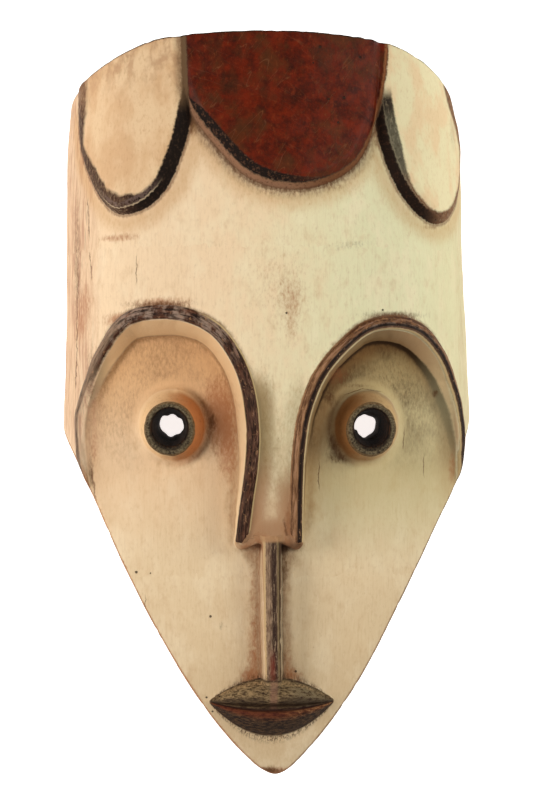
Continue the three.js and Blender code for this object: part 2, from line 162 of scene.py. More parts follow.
def nearest(path, x, y):
    """For every place x, y: the distance to the path, where along it the nearest point lies (counted in
    points), and how far the direction from there to the place points along x.

    The nearest point of a straight piece is the foot of the perpendicular, held between its ends. The
    nearest piece wins.
    """
    start, step = path[:-1, :2], np.diff(path[:, :2], axis=0)
    length2 = (step ** 2).sum(1)
    place = np.stack([np.ravel(x), np.ravel(y)], 1)
    found = []
    for some in np.array_split(place, len(place) // CHUNK + 1):
        out = some[:, None] - start
        t = ((out * step).sum(2) / length2).clip(0, 1)
        gap = out - t[..., None] * step
        size = (gap ** 2).sum(2)
        best = size.argmin(1)
        row = np.arange(len(some))
        found.append([size[row, best] ** 0.5, best + t[row, best], gap[row, best, 0]])
    far, along, gap_x = np.hstack(found).reshape((3,) + np.shape(x))
    return far, along, gap_x / (far + TINY)


def within(ring, x, y):
    """True for each place inside a closed ring: a line to the right of it meets the ring an odd number of
    times."""
    odd = np.zeros(np.shape(x), bool)
    for (x0, y0), (x1, y1) in zip(ring, np.roll(ring, -1, axis=0)):
        if y0 != y1:
            odd ^= ((y0 > y) != (y1 > y)) & (x < x0 + (x1 - x0) * (y - y0) / (y1 - y0))
    return odd


def signed(path, ring, x, y):
    """As nearest, but the distance is negative outside the ring, and the direction points inwards."""
    far, along, toward_x = nearest(path, x, y)
    sign = np.where(within(ring, x, y), 1, -1)
    return far * sign, along, toward_x * sign


def soft_step(value, low, high):
    """0 below low, 1 above high, and a smooth S between them."""
    t = np.clip((value - low) / (high - low), 0, 1)
    return t * t * (3 - 2 * t)


def soft_min(a, b, blend):
    """The smaller of two distances, with a filled corner of about that width where they meet."""
    t = np.clip(0.5 + 0.5 * (b - a) / blend, 0, 1)
    return b + (a - b) * t - blend * t * (1 - t)


def soft_max(a, b, blend):
    """The larger of two distances, with an edge worn over about that width where they meet."""
    return -soft_min(-a, -b, blend)


def ripples(x, y, length, seed, waves=14):
    """An uneven surface: the sum of flat waves in all directions, whose lengths lie around the given
    one. It varies by about one unit to either side of zero."""
    draw = np.random.default_rng(seed)
    total = np.zeros(np.shape(x))
    for angle, scale, phase in draw.uniform([0, 0.6, 0], [np.pi, 1.7, 2 * np.pi], (waves, 3)):
        across = x * np.cos(angle) + y * np.sin(angle)
        total += np.sin(2 * np.pi * across / (length * scale) + phase)
    return total * (2 / waves) ** 0.5


print("tools for lines, paths and distances are ready")

# %% [markdown]
# The block
#
# The forehead is one long vault, and the lower face another that lies deeper. A cross-section of a vault
# is a slightly boxy half ellipse. Its distance comes from the section's formula: how far the sum of the
# powers is from one, divided by how steeply that sum grows there. The jaw's outline and the sawn top cut
# both vaults off.

# %% Figures of the block
CROWN_Y = 247  # front edge of the sawn top
TOP_LEAN = 0.25  # the top leans back by this much for each millimetre of depth
TOP_EDGE_Z = 98  # depth of its front edge at the crown
RIM_WIDTH = 13  # flat rim at the back
BEYOND = 300  # farther out than any wood
BOW = 2.2  # power of the vaults' sections

left_side = line_through([
    [-60, 141.5], [-14, 141], [40, 139], [120, 138.7], [165, 138], [195, 136.5], [275, 130]])
right_side = line_through([
    [-60, 145.5], [-12, 145], [38, 142.6], [109, 139.3], [150, 138.6], [182, 137], [204, 133.5],
    [228, 128], [275, 113]])
forehead_line = line_through([
    [-100, 102], [-60, 107], [-20, 113], [30, 117], [80, 117], [140, 112], [200, 102], [280, 88]])
FACE_HALF_WIDTH = 148
face_line = line_through([
    [-262, 55], [-240, 64], [-222, 71], [-188, 80], [-140, 85], [-90, 87], [0, 87], [90, 82]])
shoulder_drop = line_through([
    [-145, 18], [-130, 14], [-118, 11], [-104, 7.5], [-92, 4.5], [-78, 1.2], [-60, 0], [64, 0],
    [78, 0.4], [90, 2.2], [102, 5.2], [113, 9], [121, 12.5], [129, 18], [145, 32]])
JAW = path_through([
    [-148, -8], [-141, -20], [-130.5, -39], [-118.5, -64], [-100, -104.5], [-80.5, -143], [-55, -187],
    [-34.5, -216.5], [-16, -238.5], [-5, -248.5], [5, -253], [13.5, -249.5], [28, -234],
    [48.5, -206.5], [68, -175], [91, -131], [115.5, -84], [134, -48.5], [140, -22], [149, -6]])


def half_width(x, y):
    """The forehead's half width on the side of x."""
    return np.where(x < 0, left_side(y), right_side(y))


def vault_height(x, line, width):
    """Height of a vault's surface: its middle line times the root of one minus the boxy share of x."""
    return line * np.sqrt(np.maximum(1 - np.abs(x / width) ** BOW, 0))


def vault_distance(x, line, width, z):
    """Distance to a vault, and how far its outward direction points along x.

    With s = |x / width| to the power BOW plus z / line squared, the surface is s = 1, and the distance is
    the root of s minus one over the slope of that root.
    """
    share = np.abs(x / width)
    root = np.sqrt(share ** BOW + (z / line) ** 2)
    slope_x = BOW * share ** (BOW - 1) / width
    slope = np.maximum(np.hypot(slope_x, 2 * z / line ** 2), 1e-4)
    return (root - 1) * 2 * np.maximum(root, 0.2) / slope, np.sign(x) * slope_x / slope


def forehead_at(x, y):
    """Height of the forehead over a place."""
    return vault_height(x, forehead_line(y), half_width(x, y))


def face_at(x, y):
    """Height of the lower face over a place."""
    return vault_height(x, face_line(y), FACE_HALF_WIDTH)


print("forehead", round(float(forehead_at(0, 50))), "mm high,",
      "lower face", round(float(face_at(0, -120))), "mm")

# %% [markdown]
# The brows and the sockets
#
# A raised band runs along each brow, and everything on its inner side is cut back to the lower face. The
# wall under a band isn't upright: at its foot it stands farther from the band's middle than at its edge.
# That distance is the third figure of each point here.
#
# For a place in the block the nearest point of the brow line gives the height of the foot and of the edge
# there, and the wall stands between them. Across the band the distance is taken along the forehead, not in
# plan, because at the temples the forehead falls away steeply.

# %% Brow line
BAND_HALF = 4.6  # half width of a band
BAND_ACROSS = [-1.08, -1, -0.72, 0, 0.72, 1]  # shares of that half width, + towards the eye
BAND_RISE = [0, 0.4, 2.2, 3.2, 2.4, 1]  # and the band's height over the forehead there

LEFT_BROW = path_through([
    [-121, -84, 3.5], [-123.5, -62, 3.5], [-127.5, -38, 6.5], [-129, -12, 9], [-124.5, 8, 12],
    [-112, 37, 14.5], [-95.6, 57, 16], [-74, 61.8, 16.5], [-53.6, 59, 14.5], [-36, 49.5, 12.5],
    [-22.5, 31, 11.5], [-15, 10.5, 11], [-11.7, -16, 10.5], [-12.5, -40, 8.5], [-15.5, -62, 7],
    [-19, -91, 5]])
TONGUE = np.array([[-10, -86.5, 5], [-1.5, -87.5, 5], [7, -86.5, 5]])
RIGHT_BROW = path_through([
    [17, -91, 5.5], [17.2, -60, 6.5], [18.3, -28, 8], [22.5, -3, 9], [31.5, 20, 9.5], [46, 38, 10],
    [64, 52, 11.5], [83, 55.2, 14], [101, 50.5, 16], [118, 34, 16.5], [128.5, 10, 14],
    [134.5, -18, 10.5], [135, -38, 6.5], [136, -62, 4]])
BROW_LINE = np.vstack([LEFT_BROW, TONGUE, RIGHT_BROW])


def walls_along(path):
    """For each point of the brow line: the height of the wall's foot and edge, and how far the edge lies
    from the band's middle in plan.

    The edge lies half a band to the inner side, measured along the forehead, so in plan it is nearer by
    the part of the forehead's direction that points that way.
    """
    x, y, run = path.T
    ahead = np.gradient(path[:, :2], axis=0)
    ahead /= np.linalg.norm(ahead, axis=1)[:, None]
    inner_x, inner_y = ahead[:, 1], -ahead[:, 0]
    _, lean = vault_distance(x, forehead_line(y), half_width(x, y), forehead_at(x, y))
    edge = BAND_HALF * np.sqrt(1 - (lean * inner_x) ** 2)
    foot_z = face_at(x + inner_x * run, y + inner_y * run)
    edge_z = forehead_at(x + inner_x * edge, y + inner_y * edge)
    return foot_z, np.maximum(edge_z, foot_z + 1), edge


FOOT_Z, EDGE_Z, EDGE_RUN = walls_along(BROW_LINE)
SOCKET_RING = np.vstack([BROW_LINE[:, :2], [[BEYOND, RIGHT_BROW[-1, 1]], [BEYOND, -BEYOND],
                                            [-BEYOND, -BEYOND], [-BEYOND, LEFT_BROW[0, 1]]]])
print("the deepest wall under a brow is", round(float((EDGE_Z - FOOT_Z).max()), 1), "mm high")

# %% [markdown]
# The hair, the nose, the mouth and the eyes
#
# The lobes of hair are a rise of the forehead that depends on how far inside its outline a place lies:
# a steep wall, a bevel, then flat. The lips are a rise of the lower face in the same way, drawn between
# two corners. The nose is an upright fin, and each eye is a leaning tube, a solid of revolution about its
# own axis, with a bore that leans less.

# %% Figures of the features
LOBE_INSIDE = [0, 4.5, 10]  # distances inside the outline
LOBE_RISE = [0, 5.8, 8.5]  # and the height there
LOBE_SIDE_THINNING = 0.5  # share of that height which is lost at the temples
LOBES = {
    "left": path_through([
        [-125, 275], [-128, 235], [-129, 200], [-125, 167], [-115, 142], [-101, 128], [-84, 130],
        [-69, 143], [-58, 168], [-52.5, 191], [-52.5, 225], [-54, 275]]),
    "middle": path_through([
        [-66, 275], [-63, 232], [-55.5, 199], [-38, 172.5], [-15, 149.5], [10, 142], [35, 145.5],
        [57, 159.5], [68, 182], [74.5, 222], [76, 275]]),
    "right": path_through([
        [66, 275], [67, 230], [69, 195], [75, 168], [84, 147], [98, 130], [113, 122.5], [124, 127],
        [131.5, 142], [134.5, 165], [133, 195], [126, 225], [109, 275]]),
}

NOSE_STATIONS = [-202, -198, -191, -187, -178, -152, -122, -95, -88]
NOSE_MIDDLE = [2.4, 2.4, 2.4, 2.2, 2, 1.4, 1, 0.8, 0.6]
NOSE_FRONT = [1.8, 2.6, 3, 5, 5.4, 5.6, 5.8, 5.9, 5.4]  # half width in front
NOSE_FOOT = [3.4, 4.4, 5, 7.2, 7.6, 7.6, 7.8, 7.6, 7]  # half width at the foot
NOSE_Z = [81, 88, 91, 95, 98, 101.5, 103.5, 104.5, 104]
NOSE_FOOT_DEPTH = 14  # how far below the front the foot has its full width

MOUTH_X = [-41, 45]  # the corners
MOUTH_Y = -200
LIP_SWELL = 0.65  # how quickly the lips rise from the corners
LIP_ACROSS = [-24, -21, -14.5, -9.5, -7, -5.5, -3, 1.5, 4.5, 12.5, 16.5]  # over the middle of the mouth
LIP_RISE = [0, 3.8, 7.4, 9.5, 8.7, 5, 5, 10.2, 11, 6, 0]

EYES = [[-64, -14], [64.5, -14.5]]
TUBE_LEAN = [9, 4.5]  # degrees out, degrees down
BORE_LEAN = [3, 1.5]
BORE_SHIFT = 2  # the bore's axis lies this much farther out than the tube's
EYE_TALL = 1.06  # height of a tube over its width
TUBE_HEIGHT = [-14, 0, 6, 14, 18.5, 19.8]
TUBE_RADIUS = [30, 23.5, 20.5, 18, 17, 15.8]
BORE_HEIGHT = [-32, -4, 13, 24]
BORE_RADIUS = [8.3, 8.6, 11.2, 12.6]
BORE_LIP = 0.3  # wood left by the knife at the back end of a bore: all round,
BORE_FLAT = 1.5  # above and below,
BORE_RAGGED = 0.5  # and unevenly


def eye_place(eye, lean, shift, x, y, z):
    """Distance from an eye's axis and height along it. The place is turned back about Y by the lean
    outwards and about X by the lean down, and squeezed, because the tubes are a little tall."""
    side = np.sign(eye[0])
    out, down = np.radians(lean)
    out *= side
    x, y, z = x - eye[0] - side * shift, y - eye[1], z - face_at(*np.array(eye, float))
    x, z = x * np.cos(out) - z * np.sin(out), x * np.sin(out) + z * np.cos(out)
    y, z = y * np.cos(down) + z * np.sin(down), z * np.cos(down) - y * np.sin(down)
    return np.hypot(x, y / EYE_TALL), z


print(len(LOBES), "lobes of hair,", len(EYES), "tube eyes")

# %% [markdown]
# The hollow behind
#
# The inside follows the outline at the width of the rim. It was cut with an adze and a gouge, and nobody
# smoothed it, so the cuts still show: rows of shallow scoops with a ridge between them. Each row is a
# strip of the arch, measured along the arch, and its scoops start at another place than its neighbour's.

# %% Figures of the hollow
HOLLOW_CHIN_Y = -233
HOLLOW_CROWN_Y = 201
HOLLOW_LEAN_Y = 100  # from here the end of the hollow leans with the sawn top
hollow_line = line_through([
    [-233, 22], [-226, 38], [-210, 52], [-185, 63], [-140, 69], [-90, 71], [-30, 71], [45, 70],
    [58, 73], [75, 82], [100, 93], [135, 95], [165, 88], [185, 73], [194, 60], [201, 44]])
SCOOP_WIDTH = 15
SCOOP_LENGTH = 34
SCOOP_DEPTH = 1.1
ARCH_CENTRE, ARCH_RADIUS = -20, 75  # the rough circle that the tool rows are measured along
SCATTER = 12.9898, 437.585  # any two odd figures scatter the places where the rows start


def jaw_reach(points, y):
    """How far the jaw reaches to its side at a height y, no farther than the forehead."""
    order = points[:, 1].argsort()
    x = np.interp(y, points[order, 1], points[order, 0], right=np.sign(points[0, 0] + points[-1, 0]) * BEYOND)
    return np.sign(x) * np.minimum(np.abs(x), half_width(x, y))


def hollow_sides(y):
    """The hollow's middle and half width in plan: the outline less the rim, which is wider in plan where
    the jaw runs aslant."""
    lowest = JAW[:, 1].argmin()
    rim = RIM_WIDTH * (1 + 0.16 * soft_step(-y, 10, 60))
    left = jaw_reach(JAW[:lowest + 1], y) + rim
    right = jaw_reach(JAW[lowest:], y) - rim
    return (left + right) / 2, (right - left) / 2


def scoops(across, y):
    """Depth of the tool cuts, from 0 in a scoop to 1 on the ridges. Rows lie side by side, each scoop is
    a parabola across and another along, and every row starts at a place of its own."""
    across = across + 3 * ripples(across, y, 70, 5)
    row = np.floor(across / SCOOP_WIDTH)
    start = np.modf(np.abs(np.sin(row * SCATTER[0]) * SCATTER[1]))[0]
    side = np.modf(np.abs(across / SCOOP_WIDTH - row))[0] * 2 - 1
    end = np.mod(y / SCOOP_LENGTH * (0.8 + 0.4 * start) + start, 1) * 2 - 1
    return 0.6 * side ** 2 + 0.4 * end ** 4


def hollow_distance(x, y, z):
    """Distance into the wood from the hollow.

    A section is |across| to one power plus (height over line) to another, and is 1 on the surface. The
    corners get squarer in the jaw. The section's place follows the lean of the end.
    """
    z = np.maximum(z, 0)
    own = y
    for _ in range(3):
        own = y - TOP_LEAN * soft_step(own, HOLLOW_LEAN_Y, HOLLOW_CROWN_Y) * z
    middle, half = hollow_sides(own)
    half = half * (1 - 0.14 * soft_step(own, 165, HOLLOW_CROWN_Y) ** 2)
    boxy = 0.5 - 0.14 * soft_step(-own, 20, 120)
    power = BOW / (2 * boxy)
    bent = np.abs(x - middle) / np.maximum(half, 1)
    high = z / hollow_line(own)
    total = high ** (1 / boxy) + bent ** power
    slope_z = high ** (1 / boxy - 1) / boxy / hollow_line(own)
    slope_x = power * bent ** (power - 1) / np.maximum(half, 1)
    arch = (total - 1) / np.maximum(np.hypot(slope_x, slope_z), 1e-3)
    ends = np.maximum(own - HOLLOW_CROWN_Y, HOLLOW_CHIN_Y - own)
    around = np.arctan2(x - middle, z - ARCH_CENTRE) * ARCH_RADIUS
    return soft_max(np.clip(arch, -30, 30), ends, 9) + SCOOP_DEPTH * scoops(around, own)


print("the hollow is up to", round(float(hollow_line(120))), "mm deep")

# %% [markdown]
# The whole block as one distance
#
# What doesn't depend on the height of a place is worked out once for each place in plan, and kept in a
# dictionary. The second function adds the height and puts the pieces together in the carver's order:
# forehead with hair and bands, cut back to the lower face, then the nose, the eyes, the outline and the
# hollow. It also returns the distances that the paint will follow.
#
# A hand-carved surface is never true. Long shallow ripples run over it, the arrises are nicked, and the
# outline wavers. All of that only takes wood away, so the skin stays inside the solid.

# %% Distance to the wood
WEAR = 2.0  # width over which the outline's arris is rounded
FILLET = 3.0  # filled corner at the foot of walls and tubes
ARRIS = 1.2  # width over which a cut edge is rounded
NOSE_FILLET = 1.6  # the same figures for the nose's foot and for the ends of tubes and bores
TUBE_EDGE = 2
BORE_EDGE = 1.5
FAR = 99  # said of a feature where there is none nearby
LONG_WAVER, SHORT_WAVER, SMALL_NICKS, LARGE_NICKS = 60, 17, 9, 24  # lengths of the unevenness


def plan(x, y):
    """Everything about places that doesn't depend on their height."""
    p = {"x": x, "y": y, "width": half_width(x, y), "line": forehead_line(y), "face_line": face_line(y)}
    p["socket"], along, p["socket_x"] = signed(BROW_LINE, SOCKET_RING, x, y)
    index = np.arange(len(BROW_LINE))
    values = {"run": BROW_LINE[:, 2], "foot": FOOT_Z, "edge": EDGE_Z, "edge_run": EDGE_RUN}
    p.update({name: np.interp(along, index, each) for name, each in values.items()})
    p["along"] = along
    p["on_brow"] = (along < len(LEFT_BROW) - 1) | (along > len(LEFT_BROW) + len(TONGUE))
    for name, ring in LOBES.items():
        p[name], _, p[name + "_x"] = signed(np.vstack([ring, ring[0]]), ring, x, y)
    p["jaw"] = -signed(JAW, np.vstack([JAW, [[BEYOND, BEYOND], [-BEYOND, BEYOND]]]), x, y)[0]
    p["top"] = y - CROWN_Y + shoulder_drop(x)
    p["nose"] = x - np.interp(y, NOSE_STATIONS, NOSE_MIDDLE)
    p["nose_ends"] = np.maximum(y - NOSE_STATIONS[-1], NOSE_STATIONS[0] - y)
    p["nose_front"], p["nose_foot"], p["nose_z"] = (
        np.interp(y, NOSE_STATIONS, values) for values in (NOSE_FRONT, NOSE_FOOT, NOSE_Z))
    middle, half = sum(MOUTH_X) / 2, (MOUTH_X[1] - MOUTH_X[0]) / 2
    p["mouth"] = np.maximum(1 - ((x - middle) / half) ** 2, 0)
    p["lip"] = (y - MOUTH_Y) / np.maximum(p["mouth"], 0.02)
    p["lips"] = p["mouth"] ** LIP_SWELL * np.interp(p["lip"], LIP_ACROSS, LIP_RISE)
    p["waver"] = 0.35 * np.maximum(1.2 + ripples(x, y, LONG_WAVER, 1), 0)
    p["waver"] += 0.12 * (1.2 + ripples(x, y, SHORT_WAVER, 2))
    p["nicks"] = 0.5 * np.maximum(ripples(x, y, SMALL_NICKS, 3) - 0.4, 0)
    p["nicks"] += 0.35 * np.maximum(ripples(x, y, LARGE_NICKS, 4), 0)
    return p


def along_surface(distance, direction_x, above, lean):
    """A plan distance turned into one along the forehead, for a place that lies above it."""
    tilt = lean * direction_x
    return (distance - above * tilt) / np.sqrt(np.maximum(1 - tilt ** 2, 0.08))


def wood(p, z):
    """Distance to the carved wood, and a dictionary of the distances that the paint follows."""
    x, y = p["x"], p["y"]
    above, lean = vault_distance(x, p["line"], p["width"], z)
    band = along_surface(p["socket"], p["socket_x"], above, lean)
    rise = np.interp(band / BAND_HALF, BAND_ACROSS, BAND_RISE) * (p["on_brow"] & (band < 2 * BAND_HALF))
    thin = 1 - LOBE_SIDE_THINNING * soft_step(np.abs(x), 95, 134)
    lobes = {name: along_surface(p[name], p[name + "_x"], above, lean) for name in LOBES}
    for inside in lobes.values():
        rise = np.maximum(rise, np.interp(inside, LOBE_INSIDE, LOBE_RISE) * thin)
    share = np.clip((z - p["foot"]) / (p["edge"] - p["foot"]), 0, 1)
    reach = p["run"] + (p["edge_run"] - p["run"]) * share
    slope = (p["run"] - p["edge_run"]) / (p["edge"] - p["foot"])
    wall = (p["socket"] - reach) / np.sqrt(1 + slope ** 2)
    forehead = soft_max(above - rise + p["waver"], wall + 0.4 * p["nicks"], ARRIS)
    over_face, _ = vault_distance(x, p["face_line"], FACE_HALF_WIDTH, z)
    face = np.maximum(over_face - p["lips"] + 0.7 * p["waver"], above + 0.3)
    solid = soft_min(forehead, face, FILLET)

    depth = p["nose_z"] - z
    fin = np.interp(depth, [0, 1.2, NOSE_FOOT_DEPTH], [-1.2, 0, 1])
    half = p["nose_front"] + np.where(fin < 0, fin, fin * (p["nose_foot"] - p["nose_front"]))
    nose = np.maximum(np.maximum(np.abs(p["nose"]) - half, -depth), p["nose_ends"])
    solid = soft_min(solid, nose + 0.5 * p["nicks"], NOSE_FILLET)

    eye_out = eye_up = bore = np.full(np.shape(x), float(FAR))
    for eye in EYES:
        out, up = eye_place(eye, TUBE_LEAN, 0, x, y, z)
        tube = soft_max((out - np.interp(up, TUBE_HEIGHT, TUBE_RADIUS)) * 0.95, up - TUBE_HEIGHT[-1],
                        TUBE_EDGE)
        solid = soft_min(solid, tube + 0.4 * p["nicks"], FILLET)
        nearer = out < eye_out
        eye_out, eye_up = np.where(nearer, out, eye_out), np.where(nearer, up, eye_up)

    top = (p["top"] - TOP_LEAN * (z - TOP_EDGE_Z)) / np.hypot(1, TOP_LEAN)
    outline = soft_max(p["jaw"] + 0.3 * p["nicks"], top + 0.4 * p["nicks"], WEAR)
    solid = soft_max(solid, outline, WEAR)
    inner = hollow_distance(x, y, z)
    solid = soft_max(soft_max(solid, -z, ARRIS), -inner, ARRIS)
    for eye in EYES:
        out, up = eye_place(eye, BORE_LEAN, BORE_SHIFT, x, y, z)
        ragged = BORE_LIP + BORE_FLAT * ((y - eye[1]) / 8) ** 2 + BORE_RAGGED * ripples(x, y, 8, 6)
        bore = np.minimum(bore, out - np.interp(up, BORE_HEIGHT, BORE_RADIUS)
                          + ragged * soft_step(up, 2, -12))
    solid = soft_max(solid, -bore, BORE_EDGE)
    seen = {name: p[name] for name in ("along", "socket", "jaw", "nose", "lip", "mouth")}
    seen.update({"hair_" + name: inside for name, inside in lobes.items()})
    seen.update(above=above, over_face=over_face, top=top, eye_out=eye_out, eye_up=eye_up, bore=bore,
                inner=inner, band=np.where(p["on_brow"], band, FAR * np.sign(band)),
                nose_depth=np.where(p["nose_ends"] < 3, depth, FAR))
    return solid, seen


print("the wood is one distance now")

# %% [markdown]
# From the distance to a skin
#
# The distance is worked out on a grid of small cubes, layer by layer. Blender could turn such a grid into
# a mesh through a volume object, but the method is short enough to write out. Every cube whose corners
# aren't all inside or all outside gets one point, at the mean of the places where its edges leave the
# wood. Every edge of the grid that leaves the wood then gets a face through the points of the four cubes
# round it. The result is closed, and its faces point outwards.

# %% Grid of distances
STEP = 1.0  # edge of a cube
MARGIN = 4  # empty space round the wood
NARROW = 3 * STEP  # distances farther than this from the skin needn't be exact
OFF_FLAT = 0.01  # keeps the corners of the grid off the flat rim
grid_x = np.arange(-(left_side(0) + MARGIN + 3), right_side(0) + MARGIN, STEP)
grid_y = np.arange(JAW[:, 1].min() - MARGIN, CROWN_Y + MARGIN + 4, STEP)
grid_z = np.arange(-MARGIN, cad_box[1].z / MM + MARGIN, STEP) + OFF_FLAT
GRID_START = np.array([grid_x[0], grid_y[0], grid_z[0]])


def fill_grid():
    """The distance in every corner of the grid, cut off a few steps from the skin."""
    here = plan(*np.meshgrid(grid_x, grid_y, indexing="ij"))
    grid = np.empty((len(grid_x), len(grid_y), len(grid_z)), np.float32)
    for layer, z in enumerate(grid_z):
        grid[:, :, layer] = wood(here, np.float64(z))[0].clip(-NARROW, NARROW)
    return grid


grid = fill_grid()
litres = float((grid < 0).sum()) * STEP ** 3 / 1e6
print("grid of", grid.shape, "corners,", round(litres, 2), "litres of wood")

# %% Skin of the grid
CORNERS = np.array([[i, j, k] for i in (0, 1) for j in (0, 1) for k in (0, 1)])


def skin(grid):
    """Points and four-sided faces of the surface where the grid changes sign, in steps of the grid."""
    inside = grid < 0
    nx, ny, nz = np.array(grid.shape) - 1
    corners = sum(inside[i:i + nx, j:j + ny, k:k + nz].astype(np.uint8) for i, j, k in CORNERS)
    cube = np.argwhere((corners > 0) & (corners < 8))
    number = np.full(corners.shape, -1, np.int32)
    number[tuple(cube.T)] = np.arange(len(cube))
    total, hits, faces = np.zeros(cube.shape), np.zeros(len(cube)), []
    for axis in range(3):
        unit = np.eye(3, dtype=int)[axis]
        for corner in CORNERS[CORNERS[:, axis] == 0]:
            start = cube + corner
            a, b = grid[tuple(start.T)], grid[tuple((start + unit).T)]
            leaves = (a < 0) != (b < 0)
            share = a[leaves] / (a[leaves] - b[leaves])
            total[leaves] += start[leaves] + share[:, None] * unit
            hits[leaves] += 1
        ahead = np.roll(inside, -1, axis)
        edge = np.argwhere(inside[1:-1, 1:-1, 1:-1] != ahead[1:-1, 1:-1, 1:-1]) + 1
        u, v = np.eye(3, dtype=int)[(axis + 1) % 3], np.eye(3, dtype=int)[(axis + 2) % 3]
        face = np.stack([number[tuple((edge - du * u - dv * v).T)]
                         for du, dv in ((1, 1), (0, 1), (0, 0), (1, 0))], 1)
        backwards = ~inside[tuple(edge.T)]
        face[backwards] = face[backwards, ::-1]
        faces.append(face)
    return total / hits[:, None], np.vstack(faces)


points, faces = skin(grid)
low, high = np.array(cad_box) / MM + [*MIDDLE, 0]
points = (points * STEP + GRID_START).clip(low, high)
print(len(points), "points and", len(faces), "faces")

# %% [markdown]
# Fewer triangles where the wood is plain
#
# The skin has a million triangles, most of them on smooth wood that needs few. The Decimate modifier
# merges the points that matter least, and keeps them close together along the arrises. It is applied at
# once, because the paint needs to know each final point.

# %% Mesh
TRIANGLES = 192000


def mesh_of(name, points, faces):
    """A mesh from whole arrays, in metres, moved so that the frame's origin is under its middle."""
    mesh = bpy.data.meshes.new(name)
    mesh.vertices.add(len(points))
    mesh.loops.add(faces.size)
    mesh.polygons.add(len(faces))
    mesh.vertices.foreach_set("co", ((points - [*MIDDLE, 0]) * MM).astype(np.float32).ravel())
    mesh.loops.foreach_set("vertex_index", faces.astype(np.int32).ravel())
    mesh.polygons.foreach_set("loop_start", np.arange(0, faces.size, faces.shape[1], dtype=np.int32))
    mesh.polygons.foreach_set("use_smooth", np.ones(len(faces), bool))
    mesh.update(calc_edges=True)
    return mesh


def thinned(mesh, triangles):
    """A mesh with about that many triangles, in place of the one given."""
    rough = add("rough", mesh)
    modifier = rough.modifiers.new("fewer", "DECIMATE")
    modifier.ratio = triangles / (2 * len(mesh.polygons))
    modifier.use_collapse_triangulate = True
    result = bpy.data.meshes.new_from_object(rough.evaluated_get(bpy.context.evaluated_depsgraph_get()))
    bpy.data.objects.remove(rough)
    bpy.data.meshes.remove(mesh)
    return result


mask_mesh = thinned(mesh_of("fine_skin", points, faces), TRIANGLES)
mask_mesh.name = "carved_mask"
mask = add("carved_mask", mask_mesh)
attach(mask, "root")
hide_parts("mask")
print(len(mask_mesh.vertices), "points and", len(mask_mesh.polygons), "triangles are left")

# %% [markdown]
# What the paint needs to know
#
# Paint, wear and dirt follow the carving: dark bands on the brows, grime in the corners, bare wood on the
# arrises. So each point of the mesh gets the distances as numbers of its own, in millimetres, and the
# material reads them by name. One more number says how much wood lies round a point: on a flat place it
# is a half, on an arris less, in a corner more. It is the mean of the grid over a small box.

# %% Numbers for the paint
def box_mean(values, reach):
    """The mean over a box that reaches that many steps to every side, from running sums."""
    for axis in range(3):
        values = np.moveaxis(values, axis, 0)
        padded = np.concatenate([values[:1]] * (reach + 1) + [values] + [values[-1:]] * reach)
        sums = np.cumsum(padded, axis=0, dtype=np.float64)
        values = ((sums[2 * reach + 1:] - sums[:-2 * reach - 1]) / (2 * reach + 1)).astype(np.float32)
        values = np.moveaxis(values, 0, axis)
    return values


def read_grid(values, spacing, where):
    """The values of a grid at places between its corners, from the eight corners round each."""
    at = (where - GRID_START) / spacing
    low = np.clip(np.floor(at).astype(int), 0, np.array(values.shape) - 2)
    share = at - low
    result = np.zeros(len(where))
    for corner in CORNERS:
        weight = np.prod(np.where(corner, share, 1 - share), axis=1)
        result += weight * values[tuple((low + corner).T)]
    return result


def place_of_points(mesh):
    """The mesh's points in the carving's own millimetres."""
    flat = np.empty(3 * len(mesh.vertices), np.float32)
    mesh.vertices.foreach_get("co", flat)
    return flat.reshape(-1, 3).astype(float) / MM + [*MIDDLE, 0]


def give(mesh, name, values):
    """Stores one number for each point under a name."""
    mesh.attributes.new(name, "FLOAT", "POINT").data.foreach_set("value", values.astype(np.float32))


BOXES = {"arris": 2, "corner": 5}  # how far the boxes reach, in steps of two cubes

where = place_of_points(mask_mesh)
_, seen = wood(plan(where[:, 0], where[:, 1]), where[:, 2])
half_grid = (0.5 - grid[::2, ::2, ::2] / (2 * STEP)).clip(0, 1)
for name, reach in BOXES.items():
    seen[name] = read_grid(box_mean(box_mean(half_grid, reach), reach), 2 * STEP, where)
for name, values in seen.items():
    give(mask_mesh, name, values)
arris_range = seen["arris"].min(), seen["arris"].max()
print(len(seen), "numbers at each point; arris from %.2f to %.2f" % arris_range)
del grid, half_grid, points, faces

# %% [markdown]
# Formulas as nodes
#
# A painted surface needs a few hundred nodes, and they are easier to read as arithmetic. Each output of a
# node is wrapped in a small class, and adding or multiplying two of them adds the Math node for it.
# Colours don't go through Math nodes, which would turn them grey, but through Mix nodes, one for each
# colour that is laid over the ones before.
#
# One material for the whole mask would be too large: every ray would work out the lips while it looks at
# the hair. So the mask gets four materials that start from the same ground, and the nodes below always
# go on the sheet that was opened last.

# %% Wires and sheets
class Wire:
    """One output of a node, for use in formulas."""

    def __init__(self, socket):
        self.socket = socket

    def __add__(self, other):
        return math("ADD", self, other)

    def __sub__(self, other):
        return math("SUBTRACT", self, other)

    def __rsub__(self, other):
        return math("SUBTRACT", other, self)

    def __mul__(self, other):
        return math("MULTIPLY", self, other)

    def __abs__(self):
        return math("ABSOLUTE", self)

    __radd__ = __add__
    __rmul__ = __mul__


